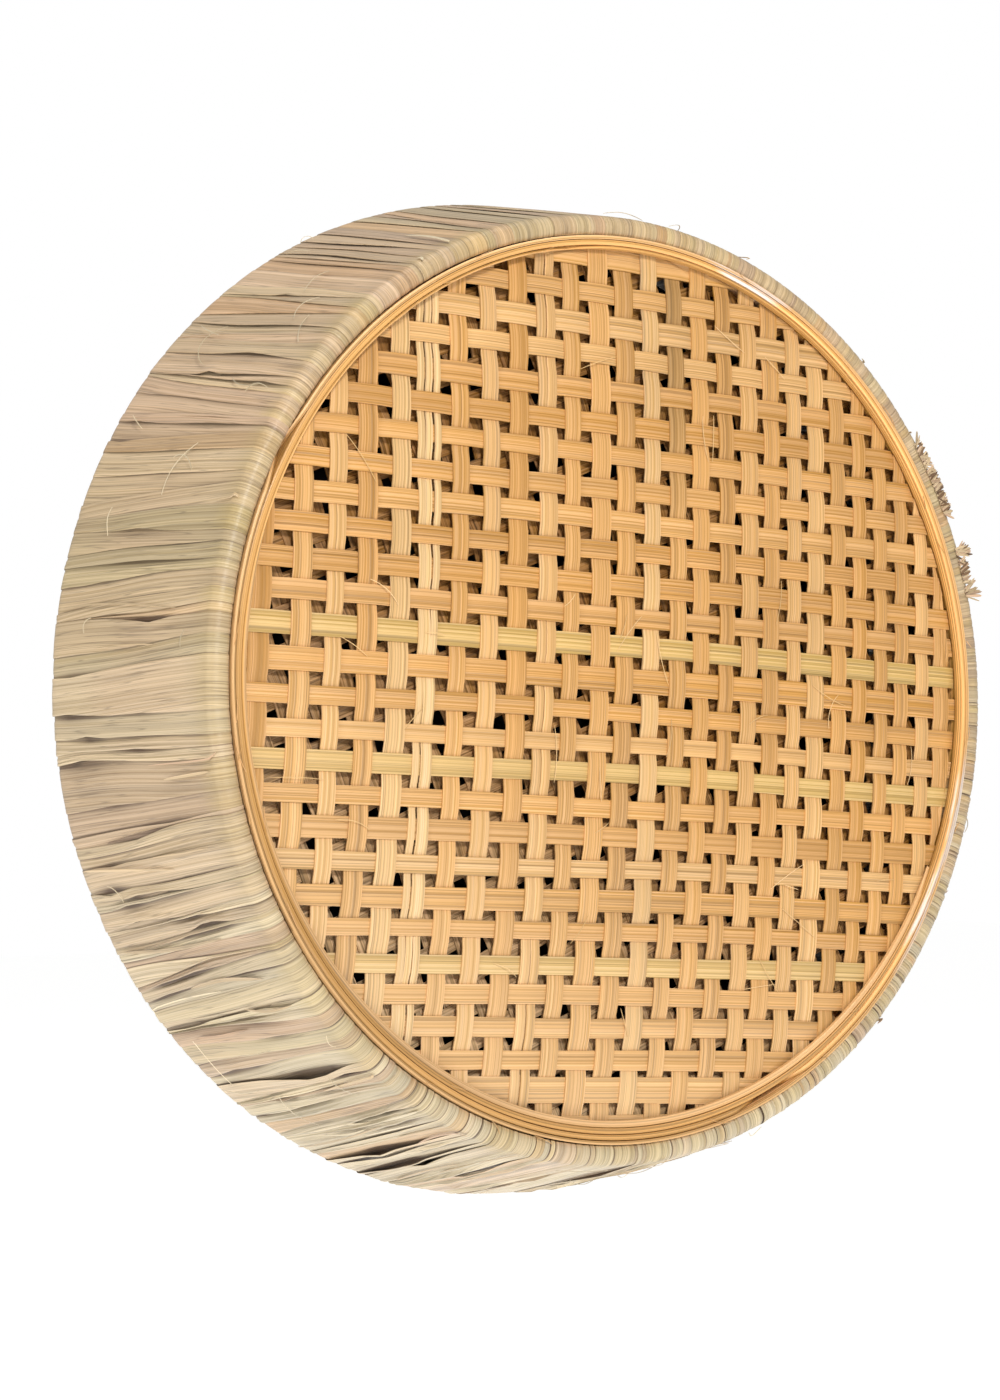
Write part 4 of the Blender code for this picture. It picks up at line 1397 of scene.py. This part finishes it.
    def rim_fibres(self, rng: np.random.Generator) -> Bundle:
        """Fibres that spring from the edges of the rim's splints and from the wrap's front edge.

        Args:
            rng: random source.

        Returns:
            The strips' grids.
        """
        count, share = self.rim_hairs, np.linspace(0.0, 1.0, self.samples)
        angle = rng.uniform(0.0, FULL_TURN, (count, 1))
        way = np.sign(rng.normal(size=(count, 1)))
        reach = rng.uniform(3.0, 14.0, (count, 1)) * MM
        theta = angle + way * reach * share / (190.0 * MM)
        edge = rng.choice(self.rim_edges, (count, 1))
        radius = edge + rng.normal(0.0, 2.0, (count, 1)) * MM * share**2
        depth = self.rim_front - rng.uniform(0.0, 2.5, (count, 1)) * MM * share * (1.2 - share)
        depth = np.broadcast_to(depth, theta.shape)
        path = np.stack([radius * np.cos(theta), depth, radius * np.sin(theta)], -1)
        colour = np.tile(Palette.SPLINT_PALE.light(), (count, 1))
        width = rng.uniform(0.15, 0.5, count) * MM
        return ribbons(path, self.outward(theta), width, 0.15 * MM, colour, rng)

    def frayed_ends(self, rng: np.random.Generator) -> Bundle:
        """Cut leaf ends that stick out past the wrap's front edge on the right: two combs and two tufts.

        Each lies on the front ring, then runs straight out; its angle spreads in proportion to the way along.

        Args:
            rng: random source.

        Returns:
            The strips' grids.
        """
        comb = np.concatenate([rng.uniform(26.0, 36.8, 120), rng.uniform(16.2, 19.6, 36)])
        tufts = np.repeat([20.4, 14.8], [20, 14]) + rng.normal(0.0, 0.35, 34)
        angle = np.radians(np.concatenate([comb, tufts]))[:, None]
        tall = np.concatenate([np.full(len(comb), 1.6), np.full(len(tufts), 5.2)])[:, None]
        count, share = len(angle), np.linspace(0.0, 1.0, self.samples)
        theta = angle + rng.normal(0.0, 0.012, (count, 1)) * share
        out = rng.uniform(0.3, 1.15, (count, 1)) * tall
        radius = self.fray_radius + (3.9 + out) * share * MM
        depth = self.fray_front - rng.uniform(0.0, 0.9, (count, 1)) * (0.4 + share) * MM
        path = np.stack([radius * np.cos(theta), depth, radius * np.sin(theta)], -1)
        shades = [Palette.STRAW, Palette.PINK_TAN, Palette.UMBER, Palette.STRAW]
        colour = np.array([shades[pick].light() for pick in rng.integers(0, len(shades), count)])
        colour = colour * rng.uniform(0.75, 1.1, (count, 1))
        facing, width = np.array([0.0, -1.0, 0.0]), rng.uniform(0.5, 1.4, count) * MM
        return ribbons(path, facing, width, self.wrap.leaf, colour, rng)

    def build(self, raffia: bpy.types.Material, bamboo: bpy.types.Material) -> None:
        """Make the loose ends as three pieces on the shade.

        Args:
            raffia: material of the leaf ends.
            bamboo: material of the bamboo fibres.
        """
        rng = np.random.default_rng(self.seed)
        make_piece("loose_leaf_ends", [self.skewed_leaves(rng), self.frayed_ends(rng)], raffia)
        make_piece("wrap_fibres", [self.wall_fibres(rng)], raffia)
        make_piece("bamboo_fibres", [self.mat_fibres(rng), self.rim_fibres(rng)], bamboo)


# ---------------------------------------------------------------- studio


@dataclass
class Studio:
    """Pale floor, soft lights and the camera, with angles in degrees and the lens in millimetres."""

    floor_level: float = -0.62
    floor_reach: float = 8.0
    camera_azimuth: float = -36.52
    camera_elevation: float = -3.03
    camera_distance: float = 0.979
    target: tuple[float, float, float] = (0.0, -0.096, 0.0)
    lens: float = 60.38
    shift: tuple[float, float] = (-0.1021, -0.0093)
    surround_light: float = 0.34
    floor_glow: float = 0.66

    def back(self, azimuth: float, elevation: float) -> Vector:
        """Unit vector from the target to a viewer: azimuth 0 looks along +Y, elevation is above level."""
        turn, rise = math.radians(azimuth), math.radians(elevation)
        return Vector((math.sin(turn) * math.cos(rise), -math.cos(turn) * math.cos(rise), math.sin(rise)))

    def add_camera(self) -> None:
        """Place the camera."""
        data = bpy.data.cameras.new("camera")
        data.lens = self.lens
        data.sensor_width = 36.0
        data.shift_x, data.shift_y = self.shift
        data.clip_start, data.clip_end = 0.01, 50.0
        camera = bpy.data.objects.new("camera", data)
        back = self.back(self.camera_azimuth, self.camera_elevation)
        camera.location = Vector(self.target) + back * self.camera_distance
        camera.rotation_euler = (-back).to_track_quat("-Z", "Y").to_euler()
        bpy.context.scene.collection.objects.link(camera)
        bpy.context.scene.camera = camera

    def add_light(
        self, name: str, azimuth: float, elevation: float, distance: float, size: float, power: float
    ) -> None:
        """Place one soft square light that faces the target.

        Args:
            name: its name.
            azimuth: direction it stands in, in degrees.
            elevation: height above level, in degrees.
            distance: distance from the target.
            size: side of the square.
            power: power in watts.
        """
        data = bpy.data.lights.new(name, "AREA")
        data.shape = "SQUARE"
        data.size = size
        data.energy = power
        light = bpy.data.objects.new(name, data)
        back = self.back(azimuth, elevation)
        light.location = Vector(self.target) + back * distance
        light.rotation_euler = (-back).to_track_quat("-Z", "Y").to_euler()
        bpy.context.scene.collection.objects.link(light)

    def add_floor(self) -> None:
        """Lay a wide pale floor."""
        mesh = bpy.data.meshes.new("floor")
        corners = [(-1.0, -1.0), (1.0, -1.0), (1.0, 1.0), (-1.0, 1.0)]
        places = [(x * self.floor_reach, y * self.floor_reach, self.floor_level) for x, y in corners]
        mesh.from_pydata(places, [], [(0, 1, 2, 3)])
        material, _, shader = blank_material("painted_floor_white")
        shader.inputs["Base Color"].default_value = (*linear("FCFCFB"), 1.0)
        shader.inputs["Roughness"].default_value = 0.8
        shader.inputs["Emission Color"].default_value = (1.0, 1.0, 1.0, 1.0)
        shader.inputs["Emission Strength"].default_value = self.floor_glow
        mesh.materials.append(material)
        floor = bpy.data.objects.new("floor", mesh)
        bpy.context.scene.collection.objects.link(floor)

    def build(self) -> None:
        """Make the floor, the lights, the white surround and the camera."""
        self.add_floor()
        world = bpy.data.worlds.new("white_surround")
        world.use_nodes = True
        background = world.node_tree.nodes["Background"]
        background.inputs["Color"].default_value = (1.0, 1.0, 1.0, 1.0)
        seen = add(world.node_tree, "ShaderNodeLightPath").outputs["Is Camera Ray"]
        ends = {"Value": seen, "To Min": self.surround_light, "To Max": 1.0}
        strength = add(world.node_tree, "ShaderNodeMapRange", ends).outputs["Result"]
        world.node_tree.links.new(strength, background.inputs["Strength"])
        bpy.context.scene.world = world
        self.add_light("key", -20.0, 24.0, 2.1, 0.35, 28.0)
        self.add_light("top", -30.0, 78.0, 1.6, 0.8, 9.0)
        self.add_light("fill", -80.0, -12.0, 1.8, 0.8, 6.0)
        self.add_camera()
        bpy.context.scene.view_settings.view_transform = "Standard"


def dress_cad_nodes() -> None:
    """Give every CAD node that stays its own material, by the slot it has in the record."""
    slots = {part["node"]: part["material_slot"] for part in frame["record"]["subparts"]}
    made = {slot: finish.material() for slot, finish in SHOP_FINISHES.items()}
    for name, node in frame["nodes"].items():
        if slots[name] in made:
            for holder in node.material_slots:
                holder.material = made[slots[name]]


FRONT_MAT = WovenMat(
    side="front",
    turn=math.radians(-1.5),
    level=-90.45 * MM,
    seed=11,
    first_upright=-155.0 * MM,
    first_crosspiece=136.0 * MM,
    counts=(range(-1, 26), range(-3, 25)),
    oddities={
        (Run.UPRIGHT, -1): Oddity(shift=-2.6 * MM, colour=Palette.BROWN_EDGE),
        (Run.UPRIGHT, 4): Oddity(widen=1.2, colour=Palette.PALE, splits=3),
        (Run.UPRIGHT, 8): Oddity(widen=1.05, splits=2),
        (Run.UPRIGHT, 13): Oddity(colour=Palette.GREY_BROWN, begins=0.35),
        (Run.CROSSPIECE, 9): Oddity(colour=Palette.GREENISH),
        (Run.CROSSPIECE, 13): Oddity(colour=Palette.GREENISH),
        (Run.CROSSPIECE, 19): Oddity(colour=Palette.GREENISH),
        (Run.CROSSPIECE, 23): Oddity(widen=1.25),
    },
    ground=Palette.HONEY,
    bow_across=(1.6, -0.2, 1.2, -7.3, -1.9, -8.1),
    bow_along=(-1.9, -0.8, 1.7, -1.3, 7.8, 3.8),
)

BACK_MAT = WovenMat(
    side="back",
    turn=math.radians(22.0),
    level=-85.85 * MM,
    seed=23,
    first_upright=-168.0 * MM,
    first_crosspiece=160.0 * MM,
    counts=(range(-1, 26), range(-1, 26)),
    oddities={},
    # Painted shade: the back mat is a darker brown than the front, with darker shades mixed in.
    ground=Palette.BACK_PAINTED_SHADE,
    shades=(Palette.SPLINT_DEEP, Palette.AMBER),
    samples=180,
    painted_low_light=0.9,
)

HOOPS = (
    SplintHoop(
        name="rim_outer_hoop",
        replaced="rim_outer_splint",
        inner=187.2 * MM,
        outer=188.7 * MM,
        laminations=(Lamination(0.0, 1.0, -96.0 * MM, -82.0 * MM, 150.0, 366.0, Palette.SPLINT_PALE),),
        seed=31,
        unevenness=0.10 * MM,
        glue_glints=((318.0, 354.0), (64.0, 80.0)),
    ),
    SplintHoop(
        name="rim_middle_hoop",
        replaced="rim_middle_splint",
        inner=184.8 * MM,
        outer=186.9 * MM,
        laminations=(Lamination(0.0, 1.0, -95.7 * MM, -83.0 * MM, -70.0, 364.0, Palette.SPLINT),),
        seed=37,
        unevenness=0.06 * MM,
        glue_glints=((322.0, 350.0), (66.0, 78.0)),
    ),
    SplintHoop(
        name="rim_inner_hoop",
        replaced="rim_inner_splint",
        inner=182.1 * MM,
        outer=184.5 * MM,
        thicken=3.0 * MM,
        laminations=(
            Lamination(0.55, 1.0, -95.2 * MM, -92.3 * MM, 100.0, 363.0, Palette.SPLINT),
            Lamination(0.0, 0.53, -94.5 * MM, -92.3 * MM, 163.0, 172.0, Palette.SPLINT_PALE),
        ),
        seed=41,
        unevenness=0.08 * MM,
    ),
    SplintHoop(
        name="retaining_hoop",
        replaced="mat_retaining_splint",
        inner=180.4 * MM,
        outer=184.3 * MM,
        laminations=(
            Lamination(0.0, 0.48, -84.3 * MM, -78.1 * MM, 40.0, 364.0, Palette.SPLINT_DEEP),
            Lamination(0.52, 1.0, -84.3 * MM, -78.1 * MM, 200.0, 364.0, Palette.SPLINT),
        ),
        seed=47,
    ),
)


def main() -> None:
    """Build the light from front to rear, then the studio."""
    logging.basicConfig(level=logging.INFO, format="%(name)s %(message)s")
    dress_cad_nodes()
    bamboo = BAMBOO_STRIP.material()
    FRONT_MAT.build(bamboo, "bamboo_strip")
    BACK_MAT.build(BAMBOO_BACK.material(), "bamboo_back_strip")
    splint = BAMBOO_SPLINT.material()
    for hoop in HOOPS:
        hoop.build(splint)
    wrap, raffia = RaffiaWrap(), RAFFIA_LEAF.material()
    wrap.build(raffia)
    LooseEnds(wrap).build(raffia, bamboo)
    Studio().build()


if __name__ == "__main__":
    main()
